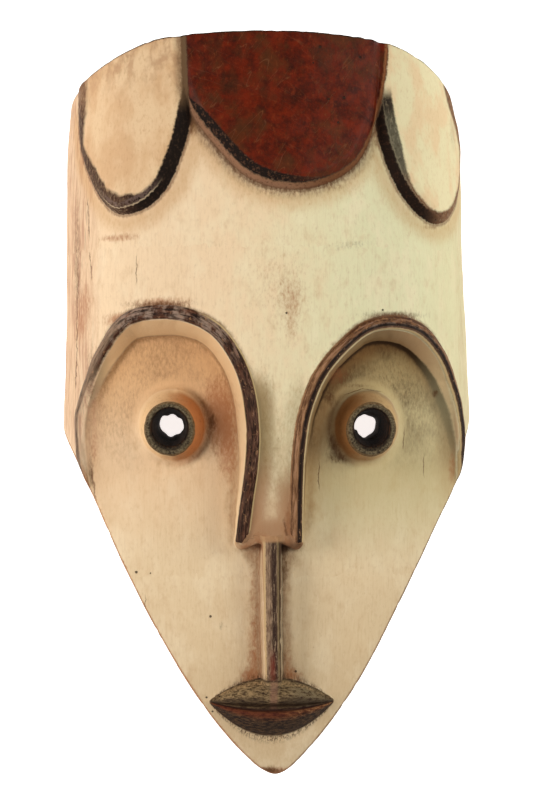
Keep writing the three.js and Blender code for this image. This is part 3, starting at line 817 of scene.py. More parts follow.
class Sheet:
    """The node tree of one material."""

    opened = None

    def __init__(self, name):
        self.material = bpy.data.materials.new(name)
        self.material.use_nodes = True
        self.tree = self.material.node_tree
        self.shader = self.tree.nodes["Principled BSDF"]
        Sheet.opened = self

    def node(self, kind, settings, sockets, output=0):
        """Adds a node: its kind, its settings, then the values or wires of its sockets. Returns an output."""
        new = self.tree.nodes.new("ShaderNode" + kind)
        for name, value in settings.items():
            setattr(new, name, value)
        for name, value in sockets.items():
            if isinstance(value, Wire):
                self.tree.links.new(value.socket, new.inputs[name])
            else:
                new.inputs[name].default_value = value
        return Wire(new.outputs[output])


def node(kind, settings={}, sockets={}, output=0):
    """A node on the sheet that was opened last."""
    return Sheet.opened.node(kind, settings, sockets, output)


def math(operation, *values):
    """A Math node of that operation."""
    return node("Math", {"operation": operation}, dict(enumerate(values)))


print("a wire is one output of a node")

# %% [markdown]
# The painter's tools
#
# These few are all that the paint is made of: a number that the mesh carries, a soft step, a soft stripe,
# cloudy noise, and a mix of two colours or two numbers. Patterns are read at the object's own place in
# millimetres, so they keep their size on the mask.

# %% Painter's tools
NOISE_APART = 37.7, 19.9, 5.3  # how far from each other two noises are read, counted in lumps


def number(name):
    """A number that the mesh carries at each point."""
    return node("Attribute", {"attribute_name": name}, output="Fac")


def step(value, low, high):
    """0 at low, 1 at high and a smooth S between them. Low may be the larger."""
    return node("MapRange", {"interpolation_type": "SMOOTHSTEP"},
                {"Value": value, "From Min": low, "From Max": high})


def near(value, middle, reach, soft):
    """1 where a value lies within reach of the middle, with soft ends."""
    return step(abs(value - middle), reach + soft, reach - soft)


def zone(value, start, end, soft=0.5):
    """1 where a value lies between two others."""
    return step(value, start - soft, start + soft) * step(value, end + soft, end - soft)


def noise(length, stretch=(1, 1, 1), detail=3.0, roughness=0.6, at=None):
    """Cloudy noise around a half whose lumps have that length in millimetres, times the stretch. No two
    calls give the same clouds, because each reads another part of the endless field."""
    noise.calls += 1
    scale = [1 / (length * share * (1 if at else MM)) for share in stretch]
    moved = node("Mapping", {}, {"Vector": at or node("TexCoord", output="Object"), "Scale": scale,
                                 "Location": [noise.calls * share for share in NOISE_APART]})
    return node("TexNoise", {}, {"Vector": moved, "Scale": 1.0, "Detail": detail, "Roughness": roughness})


noise.calls = 0


def tint(red, green, blue):
    """A colour as seen on a screen, 0 to 255, as Blender's linear values."""
    share = np.array([red, green, blue]) / 255
    linear = np.where(share <= 0.04045, share / 12.92, ((share + 0.055) / 1.055) ** 2.4)
    return (*linear.tolist(), 1.0)


def mix(share, low, high):
    """The colour low where share is 0 and high where it is 1. Each is a wire or three screen values."""
    low, high = (colour if isinstance(colour, Wire) else tint(*colour) for colour in (low, high))
    return node("Mix", {"data_type": "RGBA"}, {0: share, 6: low, 7: high}, 2)


def layers(colour, *laid):
    """A colour with others laid over it in turn, each given as (share, colour)."""
    for share, over in laid:
        colour = mix(share, colour, over)
    return colour


def blend(share, low, high):
    """The number low where share is 0 and high where it is 1."""
    return node("Mix", {"data_type": "FLOAT"}, {0: share, 2: low, 3: high}, 0)


print("a middling screen grey is", round(tint(128, 128, 128)[0], 3), "in linear light")

# %% [markdown]
# Smudges
#
# Some stains lie where chance put them. Each is a soft ellipse in plan, with its place, its two half
# widths and its strength. They are added up for each point of the mesh and are broken up by noise in the
# material: rust is reddish wood showing through, soot is grey-brown dirt. A few are painted shadows: under
# the ledge and beside the right flank of the nose, and, mixed with dirt, beside the tubes on the side
# towards the nose.

# %% Smudges
RUST_AND_SHADOW = [  # x, y, half width, half height, strength
    (-124, 71, 7, 16, 0.6), (-128, 50, 6, 12, 0.5), (-100, 57, 13, 5, 0.9), (-72, 68, 26, 4, 0.8),
    # (-35, -4) is a reddish stain and the painted shadow of the left tube together
    (13, 50, 5, 12, 0.3), (14, 70, 6, 12, 0.3), (6, 78, 28, 36, 0.37), (-35, -4, 13, 26, 0.9),
    (-28, -34, 7, 26, 0.6), (-11, -130, 4, 36, 0.5), (-11, -170, 5, 18, 0.6), (12, -174, 5, 16, 0.55),
    (-14, -183, 8, 5, 0.7), (18, -183, 8, 5, 0.6), (3, -251, 16, 4, 1.0), (-118, -30, 4, 18, 0.5),
    (128, -45, 4, 16, 0.6), (-84, 186, 3, 12, 0.6), (-100, 112, 16, 3, 0.8), (84, 55, 18, 5, 0.9),
    (12, -80, 5, 12, 0.7), (-6, -88, 8, 6, 0.6), (45, 20, 12, 10, 0.5), (-46, 218, 5, 18, 0.5),
    (-96, 222, 18, 6, 0.4), (110, 160, 10, 20, 0.25),
]
SOOT_AND_SHADOW = [
    # (-38, -12) by the left tube and (44, -26), (48, -36), (41, 4) by the right tube are dirt and painted
    # shadow together
    (-38, -12, 3, 9, 0.8), (44, -26, 6, 9, 0.8), (48, -36, 9, 4, 0.6), (41, 4, 4, 5, 0.8),
    (58, 13, 14, 2, 0.5), (-4, -20, 4, 50, 0.5), (-124, 208, 4, 18, 1.2), (-95, 232, 2, 4, 1.0),
    (128, 188, 3, 14, 0.9), (-32, -149, 2, 5, 0.6), (-130, 100, 4, 60, 0.5), (60, 108, 14, 4, 0.3),
    # (8, -94) is painted shadow under the ledge, right of the nose
    (-120, -45, 3, 18, 0.5), (13, -76, 4, 14, 0.9), (8, -94, 5, 4, 1.2), (-101, 126, 12, 2, 0.35),
    (110, 120, 10, 2, 0.6), (-2, 140, 28, 3, 0.4), (46, 144, 16, 3, 0.5), (-56, 222, 4, 34, 0.8),
    (-51, 190, 4, 9, 1.2), (-72, 67, 28, 3, 0.7), (82, 60, 26, 3, 0.8), (-120, 20, 5, 30, 0.5),
    (44, 104, 20, 4, 0.3), (126, 120, 6, 30, 0.3), (114.7, 7.5, 2.5, 3, 0.9), (1, -250, 10, 3, 1.0),
    # (10, -110) is painted shadow on the cheek beside the nose's right flank
    (10, -110, 3, 16, 0.7),
]


def smudges(marks, x, y):
    """The sum of soft ellipses: each falls off as a bell over the distance from its middle, counted in
    its half widths."""
    return sum(strength * np.exp(-((x - mark_x) / half_x) ** 2 - ((y - mark_y) / half_y) ** 2)
               for mark_x, mark_y, half_x, half_y, strength in marks)


side, up, _ = where.T
for name, values in (("rust_and_shadow", smudges(RUST_AND_SHADOW, side, up)), ("soot_and_shadow", smudges(SOOT_AND_SHADOW, side, up)),
                     ("side", side), ("up", up)):
    give(mask_mesh, name, values)
print(len(RUST_AND_SHADOW), "marks of rust,", len(SOOT_AND_SHADOW), "of soot")

# %% [markdown]
# Small marks
#
# Beetles left flight holes a millimetre wide, and the block has hairline cracks along its fibres. A hole
# is the inside of a small circle, and a crack is a thin strip along a line, which noise pushes from side
# to side.

# %% Small marks
CRACKS = {  # start, end, width
    "hair": [((34, 196), (42, 206), 0.5), ((-122, 140), (-121, 112), 0.6)],
    "brow": [((-88.6, 100), (-88.6, 80), 0.45), ((-120, -42), (-117, -66), 1.0), ((33, -38), (33, -57), 0.5),
             ((106, -34), (106, -49), 0.5), ((92.5, -16), (91, -30), 0.5), ((-121, 104), (-119, 84), 0.6),
             ((-129, 90), (-131, 10), 0.6), ((63, 11), (76, 9), 0.5), ((50, 7), (64, 11.5), 0.5),
             ((9, -74.5), (12, -91), 1.4)],
    "face": [((-84, -150), (-83, -128), 0.4)],
}
HOLES = {  # x, y, radius
    "hair": [(48.4, 203.2, 1.0), (38, 202, 0.8), (32.8, 236.9, 1.0), (59.6, 231.2, 0.8), (44.3, 186.5, 0.8),
             (28, 226, 0.6)],
    "brow": [(9.8, 60.9, 0.7), (74.3, 63.3, 0.7), (-89.2, -112.9, 0.9), (-79.7, -113.3, 0.5)],
    "face": [(17.9, -179.3, 0.8), (-42, -197.2, 0.7), (-37.9, -207, 0.6), (-39.4, -141.7, 0.8)],
}


def crack(x, y, start, end, width):
    """1 on a thin line between two places."""
    start, end = np.array(start), np.array(end)
    length = np.linalg.norm(end - start)
    ahead_x, ahead_y = ((end - start) / length).tolist()
    from_x, from_y = x - float(start[0]), y - float(start[1])
    forward = from_x * ahead_x + from_y * ahead_y
    across = from_y * ahead_x - from_x * ahead_y
    return step(abs(across), width, 0) * step(forward, -2, 4) * step(forward, length + 2, length - 4)


def hole(x, y, hole_x, hole_y, radius):
    """1 inside a small round hole."""
    from_x, from_y = x - hole_x, y - hole_y
    return step(from_x * from_x + from_y * from_y, radius ** 2 * 1.4, radius ** 2 * 0.4)


print(sum(map(len, CRACKS.values())), "cracks and", sum(map(len, HOLES.values())), "holes")

# %% [markdown]
# The ground
#
# Every part of the mask starts from the same ground: raw wood, and over it kaolin, a white clay, where it
# was brushed on. The hollow, the bores of the eyes, the sawn top and the cut sides of the jaw stayed bare.
# Grime sits in every corner, the arrises are worn to the wood by hands, and the temples are streaked along
# the fibres. The numbers at the points say where each of these is.

# %% Ground
class Ground:
    """The patterns and the ground colours of one sheet."""

    def __init__(self, name):
        self.sheet, self.name = Sheet(name), name
        self.grain = noise(1.1, (1, 16, 1), 3)  # fibres of the wood run from chin to crown
        self.brush = noise(1.7, (1, 2.2, 1), 3, 0.7)
        self.mottle = noise(7, (1, 1.6, 1), 3)
        self.patch = noise(17, (1, 1.8, 1), 3, 0.65)
        self.side, self.up, self.inner = number("side"), number("up"), number("inner")
        self.corner, self.arris = number("corner"), number("arris")
        self.hollow = step(self.inner, 3.5, 1.5)
        self.colour = self.raw_wood()

    def stain(self, colour, share):
        """Puts a colour over what is there, as strongly as its share, 0 to 1, says."""
        self.colour = mix(share, self.colour, colour)

    def smear(self, amount, dryness=1.0):
        """A stain's share from its amount, broken up as by a dry brush."""
        return step(amount + (self.brush - 0.5) * dryness, 0.15, 0.95)

    def raw_wood(self):
        """Bare carved wood, brown with age, darker between the fibres."""
        colour = mix(step(self.mottle, 0.3, 0.72), (104, 70, 42), (156, 110, 68))
        return mix(step(self.grain, 0.52, 0.7) * 0.6, colour, (62, 38, 22))

    def hollow_stains(self):
        """Dirt between the tool marks of the hollow, and wear on the ridges."""
        self.stain((46, 31, 20), self.hollow * step(self.corner, 0.5, 0.62) * 0.6)
        self.stain((170, 128, 84), self.hollow * step(self.arris, 0.5, 0.44) * 0.5)

    def clay(self):
        """Kaolin: cream, greyer towards the chin, and pinkish on the left and greener on the right of the
        forehead, which is partly the clay's own tone and partly painted colour of the warm left lamp and the
        greener right lamp. The wood's fibres and the brush show through."""
        # pinkish left, greener right: the clay's own tone together with painted lamp colour
        side = step(self.side + (self.patch - 0.5) * 120, -50, 60)
        low = mix(step(self.up, -110, -230), (223, 198, 161), (212, 185, 147))
        return layers(
            mix(side, (232, 205, 170), (222, 216, 178)),
            (step(self.up + (self.patch - 0.5) * 50, -30, -120), low),
            (step(self.patch, 0.45, 0.7) * 0.4, (238, 220, 188)),
            (step(self.mottle, 0.5, 0.78) * 0.34, (198, 162, 122)),
            (step(self.brush, 0.5, 0.72) * 0.2, (186, 150, 112)),
            (step(self.grain, 0.52, 0.72) * 0.16, (180, 142, 104)),
            (step(self.grain, 0.45, 0.3) * 0.12, (244, 228, 198)),
            (step(self.brush, 0.7, 0.78) * step(self.patch, 0.45, 0.6) * 0.6, (132, 92, 62)))

    def whiten(self):
        """Lays the clay over the wood, then the grime, the wear and the smudges."""
        height = node("SeparateXYZ", {}, {0: node("TexCoord", output="Object")}, 2) * (1 / MM)
        rim = step(height + self.patch * 10, 14, 7)
        jaw = step(number("jaw") + (self.brush - 0.5) * 1.8, -1.7, -0.3)
        top = step(number("top") + (self.brush - 0.5) * 2, -2.0, -0.7)
        bare = 1 - self.hollow
        self.covered = bare * (1 - step(number("bore"), 1.4, 0.4)) * (1 - top)
        self.covered = self.covered * (1 - rim * 0.8) * (1 - jaw * 0.7)
        self.stain(self.clay(), self.covered)
        cut = mix(step(self.side, -20, 30), (170, 112, 66), (92, 58, 34))
        self.stain(cut, jaw * bare * (0.4 + 0.65 * self.mottle))
        self.under, self.sawn = rim * bare, top * bare
        self.bare_ends()
        self.hollow_stains()
        grimy = step(self.corner + (self.mottle - 0.5) * 0.12, 0.53, 0.63) * self.covered
        self.stain((124, 80, 44), grimy * (0.2 + 0.7 * self.brush))
        worn = step(self.arris + (self.brush - 0.5) * 0.12, 0.37, 0.30) * bare
        self.stain((150, 98, 56), worn * 0.6)

    def bare_ends(self):
        """The underside is bare wood, and the sawn end at the crown nearly black."""
        wood = mix(step(self.grain, 0.5, 0.7) * 0.5, (140, 98, 60), (70, 44, 26))
        self.stain(wood, self.under * 0.8)
        self.stain(mix(step(self.brush, 0.45, 0.75) * 0.5, (32, 21, 14), (70, 48, 32)), self.sawn)

    def smudge(self):
        """The stains of chance, a few of which are painted shadows, the streaks on the temples, and painted
        shade on the right temple.
        """
        hatch = noise(2.6, (1, 14, 1), 3, 0.7)
        temple = (step(self.side, -108, -128) + step(self.side, 126, 140) * 0.5) * self.covered
        temple = temple * step(self.up, -60, 0)
        self.stain((196, 156, 124), temple * 0.45)
        self.stain((166, 116, 92), temple * step(hatch, 0.44, 0.62) * 0.6)
        self.stain((126, 106, 90), temple * step(hatch, 0.42, 0.3) * 0.5)
        # painted shade on the right temple
        right_temple_shade = step(self.side, 95, 125) * step(self.up, -50, 0) * self.covered
        self.stain((196, 184, 142), right_temple_shade * 0.35)
        # marks of rust and soot, a few of which are painted shadows
        rust_and_shadow, soot_and_shadow = number("rust_and_shadow"), number("soot_and_shadow")
        self.stain((160, 98, 60), self.smear(rust_and_shadow) * step(rust_and_shadow, 0.05, 0.5) * self.covered * 0.75)
        self.stain((84, 52, 28), self.smear(soot_and_shadow) * step(soot_and_shadow, 0.05, 0.5) * self.covered * 0.85)

    def small_marks(self):
        """The cracks and the holes of this part, and how deep they go in millimetres."""
        shift = noise(5, (1, 1, 1), 2) * 3 - 1.5
        bent = self.side + shift
        cracked = sum((crack(bent, self.up, *line) for line in CRACKS[self.name]), 0.0)
        holed = sum((hole(self.side, self.up, *spot) for spot in HOLES[self.name]), 0.0)
        self.stain((98, 62, 40), cracked * self.covered * step(self.brush, 0.3, 0.5) * 0.7)
        self.stain((46, 29, 18), holed * 0.85)
        return cracked * -0.35 + holed * -0.8

    def relief(self, brush_marks):
        """The clay's own unevenness in millimetres: fibres, brush marks and lumps."""
        return self.grain * 0.12 + self.brush * brush_marks + self.mottle * 0.16

    def finish(self, roughness, height):
        """Links colour, roughness and the heights in millimetres, and hands the material to the mesh."""
        links, shader = self.sheet.tree.links, self.sheet.shader
        bump = node("Bump", {}, {"Height": height, "Distance": MM, "Strength": 1.0}, "Normal")
        for name, wire in (("Base Color", self.colour), ("Roughness", roughness), ("Normal", bump)):
            links.new(wire.socket, shader.inputs[name])
        set_inputs(shader, {"Specular IOR Level": 0.12})  # clay and old paint are matt
        mask_mesh.materials.append(self.sheet.material)
        print(self.name, "has", len(self.sheet.tree.nodes), "nodes")


hollow = Ground("hollow")
hollow.hollow = 1.0  # all of this part is inside the hollow
hollow.stain((78, 54, 36), step(hollow.patch, 0.5, 0.7) * 0.4)
hollow.hollow_stains()
hollow.finish(blend(hollow.grain, 0.7, 0.9), hollow.grain * 0.22 + hollow.mottle * 0.25)

# %% [markdown]
# The hair
#
# Each lobe has a steep wall and a bevel. On the side lobes both are painted dark and the inside is white.
# On the middle lobe the wall is brown with a painted shadow line at its foot, the bevel dark, and the
# inside covered in a dark red that has been rubbed, scratched and pitted. On the forehead just outside the
# lobes a dark band is painted, partly as shade at the foot of the walls and partly as a smear of dirt. Where
# lobes meet at the top there is no groove between them, only a smear of paint.

# %% Hair
hair = Ground("hair")
hair.whiten()
hair.smudge()
hair_noise = noise(2.4, (1, 1, 1), 4, 0.7)
lit = step(hair_noise, 0.5, 0.68)
ragged = (hair_noise - 0.5) * 2.4 + (hair.brush - 0.5) * 1.2
left, middle, right = (number("hair_" + name) + ragged for name in LOBES)
left_free, right_free, middle_free = step(left, 1.5, -0.5), step(right, 1.5, -0.5), step(middle, 1, -1)
high = step(hair.up, 192, 212)
low_right = step(hair.side, 5, 45)

nearest_lobe = math("MAXIMUM", math("MAXIMUM", left, middle), right)
hair.stain((190, 142, 88), zone(nearest_lobe, -12, 0, 6) * (1 - high) * (0.3 + 0.3 * hair.brush))
# a dark band just outside the lobes: painted shade at the walls' foot, broken up like smeared dirt
outside = zone(nearest_lobe, -2.5, 0.3, 1.5) * (1 - high)
hair.stain((112, 72, 48), hair.smear(outside * 0.8, 0.8) * outside * 0.7)
peach = layers(
    mix(step(hair.patch, 0.35, 0.65), (204, 164, 122), (220, 188, 148)),
    (step(hair.brush, 0.5, 0.7) * 0.4, (186, 140, 100)),
    (step(hair.up, 196, 235) * step(hair.mottle, 0.4, 0.65) * 0.65, (160, 114, 78)))
hair.stain(peach, step(left, 1, 4) * 0.85)
cream = mix(step(hair.patch, 0.35, 0.6), (224, 190, 150), (224, 210, 170))
hair.stain(mix(step(hair.brush, 0.5, 0.7) * 0.3, cream, (196, 160, 118)), step(right, 1, 4) * 0.75)

# %% Left lobe
inner_side = step(hair.side, -100, -84)
edge = layers(
    mix(inner_side, (62, 40, 28), (24, 15, 10)),
    (lit * 0.3, mix(inner_side, (150, 110, 84), (84, 62, 48))),
    (high * inner_side * 0.9, (104, 80, 56)),
    (high * (1 - inner_side) * 0.6, (124, 86, 62)))
outer = 9 + 7 * step(hair.up, 180, 214) + 4 * step(hair.up, 178, 162) + (hair.patch - 0.5) * 10
reach = blend(inner_side, outer, 8) - high * inner_side * 3
on_edge = step(left, -0.8, 0.2) * step(left - reach, blend(inner_side, 2.5, 0.6), -0.8)
hair.stain(edge, on_edge * hair.smear(0.85 + 0.25 * inner_side - 0.1 * high * (1 - inner_side)))
low_left = step(hair.up, 152, 138) * step(hair.side, -118, -104)
hair.stain((104, 84, 76), zone(left, 5.0, 9) * low_left * step(hair_noise, 0.4, 0.55) * 0.8)
hair.stain((214, 190, 156), near(left, 4.6, 0.3, 0.4) * low_left * 0.7)

# %% Right lobe
inner_right = step(hair.side, 123, 103)
wall = layers(
    mix(lit, (120, 82, 54), (66, 42, 28)),
    (inner_right, mix(lit * 0.4, (30, 18, 11), (80, 50, 32))),
    (inner_right * step(hair.up, 206, 216), (108, 74, 48)))
outer = 9.5 + 7 * step(hair.up, 160, 214) + (hair.patch - 0.5) * 5
reach = blend(inner_right, outer, 5.4 - 3 * step(hair.up, 204, 216))
on_edge = step(right, -0.8, 0.2) * step(right - reach, blend(inner_right, 2.5, 0.6), -0.8)
hair.stain(wall, on_edge * middle_free * hair.smear(0.9 + 0.2 * inner_right))
bevel = layers(
    mix(step(hair.up, 140, 160), (112, 78, 56), (92, 86, 70)),
    (step(hair.up, 184, 202), (46, 38, 30)),
    (lit * 0.6, (44, 34, 26)))
bevel_end = 6.8 + 4.4 * step(hair.up, 142, 176)
bevel_reach = zone(right, 5.0, bevel_end, 0.9) * step(hair.up, 214, 203)
hair.stain(bevel, bevel_reach * inner_right * middle_free * hair.smear(0.9))

# %% Middle lobe
wall = layers(
    mix(low_right, (146, 108, 82), (120, 76, 48)),
    (lit * 0.7, mix(low_right, (80, 52, 38), (64, 42, 28))))
hair.stain(wall, zone(middle, -0.3, 4.6) * left_free)
bevel = layers(
    mix(low_right, (26, 17, 13), (78, 40, 26)),
    (step(hair_noise, 0.62, 0.7) * 0.4, (160, 100, 56)),
    (step(hair_noise, 0.48, 0.38) * 0.75, (86, 58, 42)))
hair.stain(bevel, zone(middle, 4.4, 15) * left_free)
hair.stain((34, 22, 15), near(middle, 4.6, 0.6, 0.6) * left_free * hair.smear(0.7) * 0.8)
# painted shadow line at the foot of the middle lobe's wall
hair.stain((70, 46, 30), near(middle, 0.1, 0.6, 0.9) * left_free * hair.smear(0.6) * 0.75)
seam = step(middle, -9, -0.5) * step(middle, 1, 0) * left_free * right_free
hair.stain((92, 66, 46), seam * (1 - high) * hair.smear(0.6) * 0.8)

rubbed = noise(24, (1, 1, 1), 4, 0.65)
red_noise = noise(9, (1, 1, 1), 4, 0.75)
rising = node("CombineXYZ", {}, {0: hair.side * 0.8 - hair.up * 0.6, 1: hair.side * 0.6 + hair.up * 0.8})
falling = node("CombineXYZ", {}, {0: hair.side * 0.5 + hair.up * 0.86, 1: hair.up * 0.5 - hair.side * 0.86})
scratches = near(noise(6, (1, 11, 1), 1, 0.5, rising), 0.5, 0.004, 0.008) * step(rubbed, 0.48, 0.56)
also = near(noise(6, (1, 10, 1), 1, 0.5, falling), 0.5, 0.003, 0.007) * step(rubbed, 0.52, 0.46)
scratches = scratches + also * 0.7
red = layers(
    mix(step(red_noise, 0.25, 0.75), (52, 12, 2), (108, 30, 5)),
    (step(rubbed, 0.48, 0.66) * 0.6, (76, 44, 18)),
    (step(rubbed, 0.46, 0.3) * 0.5, (44, 16, 4)),
    (step(hair.patch, 0.54, 0.66) * 0.35, (58, 38, 18)),
    (step(hair.brush, 0.54, 0.8) * 0.35, (134, 72, 34)),
    (step(hair.mottle, 0.6, 0.75) * 0.4, (128, 48, 20)),
    (scratches * 0.26, (150, 96, 62)))
low_edge = step(hair.side + ragged * 5, 20, -20) * step(hair.up, 205, 185)
red_start = 9.5 + 1.2 * low_edge - 5 * low_right - 3 * step(hair.side, 40, 60) * step(hair.up, 170, 190)
red_start = red_start - 8 * high * step(hair.side, 20, -20)
on_red = step(middle - red_start, -0.5, 0.8) * step(middle, 0.2, 1.0) * left_free
hair.stain(red, on_red)
top_seam = zone(left, 2.5, 8, 2.5) * high * inner_side
hair.stain((104, 78, 54), top_seam * hair.smear(0.75) * 0.8)
rub_line = near(middle, 1.0, 0.5, 0.6) * step(hair.side, 60, 68) * step(hair.up, 165, 185)
hair.stain((150, 92, 56), rub_line * hair.smear(0.7) * 0.8)
hair.bare_ends()
pits = hair.small_marks() - scratches * on_red * 0.15
hair.finish(blend(on_red * (1 - hair.sawn), 0.8, 0.5), hair.relief(0.2) + pits)

# %% [markdown]
# The brows and the eyes
#
# Under the brows the clay is thin, and the wood shows through it, most of all at the top of the sockets.
# Shade is painted there as well: on the floor under the right arch, on the floor beside the walls and along
# their foot, and on the walls that turn away from the left lamp.
# The bands are painted nearly black, with streaks that run along them, so their noise is read in the
# band's own two directions. The left band is worn paler on its outer flank at the temple. The right band
# has a pale, reddish outer half between dark lines, and a worn cream line along its inner edge. The eyes
# have a dark ring round the opening, a bore painted nearly black as dark wood and deep shade, and a bare
# orange-brown tube that is painted paler on its outer side and darker towards the nose, as lit and shaded,
# with a painted shadow at its foot on that side.

# %% Sockets
brow = Ground("brow")
brow.whiten()
above, band, along, socket = map(number, ("above", "band", "along", "socket"))
over_face = number("over_face")
on_right = step(brow.side, -4, 4)
in_socket = step(socket, 3.6, 5.4) * step(above, -0.6, -2.2) * step(brow.covered, 0.35, 0.8)
on_wall = in_socket * step(over_face, 1.5, 4)
on_floor = in_socket * (1 - step(over_face, 1.5, 4))
on_forehead = step(above, -2.4, -1.0)
arch = step(brow.up, -70, 35)
uneven = (brow.patch - 0.5) * 8

flecks = step(noise(0.9, (1, 4, 1), 4, 0.75), 0.48, 0.66)
floor_tan = mix(on_right, (214, 170, 124), (186, 162, 114))
thin = math("MAXIMUM", arch, 0.35 + 0.35 * on_right)
brow.stain(floor_tan, on_floor * step(brow.up, -110, -40) * thin)
brow.stain((156, 108, 68), on_floor * arch * flecks * (0.22 + 0.08 * on_right))
# painted shadow on the right socket's floor under the arch
arch_shadow = step(socket + uneven, 46, 8) * step(brow.up, -15, 38) * on_right
brow.stain((88, 62, 32), on_floor * arch_shadow * 0.9)
# painted shadow on the floor beside the walls, stronger in the right socket
shadow_by_wall = step(socket + uneven, 26, 9) * step(brow.up, -110, -10)
brow.stain((152, 108, 62), on_floor * shadow_by_wall * (0.22 + 0.24 * on_right))
# the walls are tan where the wood shows through, with painted light and shade: the right socket's wall is
# darker on its top and nose side and paler at its outer end, and the left socket's far wall is greyer
right_wall_lit_and_shaded = mix(step(brow.side, 60, 105), (132, 100, 60), (192, 152, 110))
wall_tan_and_shade = layers(
    mix(on_right, (222, 184, 138), right_wall_lit_and_shaded),
    (step(brow.side, -104, -120), (122, 108, 76)))
brow.stain(wall_tan_and_shade, on_wall * (0.5 + 0.4 * math("MAXIMUM", arch, on_right * step(brow.side, 80, 50))))
# painted shade on the right socket's floor near the wall
shade = step(socket + uneven, 22, 13) * on_right * step(brow.up, -60, 0)
brow.stain((110, 76, 42), on_floor * shade * 0.5)
# painted shadow: a dry-brushed dark line along the foot of the walls, darker on the right, kept off the tubes
foot = near(over_face + (brow.brush - 0.5) * 1.5, 1.6, 1.8, 0.8) * in_socket * step(brow.up, -60, 10)
foot = foot * brow.smear(0.7 + 0.3 * on_right) * (0.6 + 0.35 * on_right)
foot = foot * step(number("eye_out"), 27, 33)
brow.stain(mix(on_right, (112, 74, 42), (54, 35, 19)), foot)
brow.smudge()

# %% Ledge and bridge
def stain_ledge(part):
    """Between the bands the clay is thin and gets browner towards the ledge. The step under the ledge is
    painted brown, and with painted shadow nearly black on the right."""
    bridge = step(number("socket"), -30, -6) * step(number("above"), -2.4, -1.0) * step(part.up, 42, 5)
    bridge = bridge * step(abs(part.side - 1), 26, 18)
    bridge = bridge * (1 - 0.35 * step(part.side, 0, 9) * step(part.up, -60, -35))
    bridge_tint = mix(step(part.up, -20, -70), (134, 110, 70), (152, 106, 72))
    part.stain(bridge_tint, part.smear(bridge, 0.5) * bridge * 0.85)
    # painted shadow on the step under the ledge: brown on the left, nearly black on the right
    column = step(abs(part.side - 1), 24, 17) * part.covered
    brown = mix(step(part.side, -4, 6), (140, 92, 60), (70, 44, 28))
    part.stain(brown, column * near(part.up + (part.brush - 0.5) * 6, -93.5, 2.5, 3) * 0.8)


stain_ledge(brow)

# %% Bands
ragged = (noise(3.2, (1, 1, 1), 3, 0.7) - 0.5) * 2.2
along_band = node("CombineXYZ", {}, {0: along * 5.0, 1: band})
streak = noise(1.6, (8, 1, 1), 4, 0.7, along_band)
chips = noise(2.2, (2, 1, 1), 3, 0.75, along_band)
arch_top = step(brow.up, 25, 52)
ragged_line = (chips - 0.5) * 2.0

greyed = step(brow.mottle, 0.38, 0.58) * step(streak, 0.34, 0.58) * (0.08 + 0.8 * arch_top)
flank = step(brow.side, -95, -106) * (0.3 + 0.5 * step(streak, 0.34, 0.6)) * near(band, -0.4, 3.0, 1.2)
deep = mix(arch_top, (84, 52, 32), (50, 31, 20))
pale = mix(arch_top, (162, 120, 84), (120, 84, 58))
reddish = layers(
    mix(step(streak, 0.3, 0.66), deep, pale),
    (arch_top * step(chips, 0.45, 0.62) * 0.4, (140, 90, 48)))
worn_right = near(band + ragged * 0.25, 4.1, 0.5, 0.3) * on_right
worn_left = near(band + ragged * 0.25, -4.2, 0.45, 0.3) * (1 - on_right) * step(brow.side, -52, -36)
dark = layers(
    mix(step(streak, 0.34, 0.7), (27, 13, 7), (90, 54, 36)),
    (greyed, (148, 126, 110)),
    (flank, (146, 120, 96)),
    (on_right * step(band, 0.8, -0.6), reddish),
    (near(band, -1.8, 1.0, 1.0) * step(streak, 0.5, 0.64) * 0.5, (150, 112, 96)),
    (near(band, 1.9, 1.3, 0.7) * on_right * 0.9, (25, 14, 9)),
    (near(band + ragged_line, -3.3, 0.5, 0.5) * on_right * 0.75, (70, 40, 22)),
    (on_right * near(band, 3.0, 0.6, 0.5) * (0.2 + 0.4 * arch_top), (118, 86, 64)),
    (step(chips, 0.58, 0.7) * 0.6, (160, 118, 84)),
    ((worn_right + worn_left) * 0.85, (208, 180, 132)))

inner_edge = near(band, 7.0, 2.0, 1.5) * on_forehead * on_right * step(brow.side, 85, 110)
brow.stain((176, 138, 100), inner_edge * 0.8)
halo = step(band + ragged * 1.5, -9, -4) * step(band, -1, -3.5) * on_forehead
halo = halo * (0.35 + 0.65 * step(brow.up, 10, 55))
brow.stain((104, 66, 44), brow.smear(halo * 0.8, 0.8) * halo * 0.75)
low_left = step(brow.side, -100, -112) * step(brow.up, 30, 5)
on_band = near(band + ragged * 0.4, 0, BAND_HALF, 0.4) * on_forehead
on_band = on_band * (1 - low_left * step(band, 1.8, 3.2) * 0.8)
brow.stain(dark, on_band)

# %% Eyes
eye_out, eye_up = number("eye_out"), number("eye_up")
turned = noise(1.6, (1, 1, 1), 4, 0.75)
to_nose = 64 - abs(brow.side)
on_tube = step(eye_up, 0.5, 5.0) * step(eye_out, 27, 24)
# the tube is bare wood, painted paler on its outer side as lit and darker orange-brown towards the nose as
# shaded
lit_pale_side = mix(on_right, (222, 184, 138), (194, 160, 114))
bare_and_shaded_side = mix(on_right, (178, 106, 54), (146, 98, 54))
tube = layers(
    mix(step(to_nose + (brow.patch - 0.5) * 20, -12, 14), lit_pale_side, bare_and_shaded_side),
    (step(brow.brush, 0.5, 0.7) * 0.35, (120, 74, 40)))
brow.stain(tube, on_tube * 0.9)
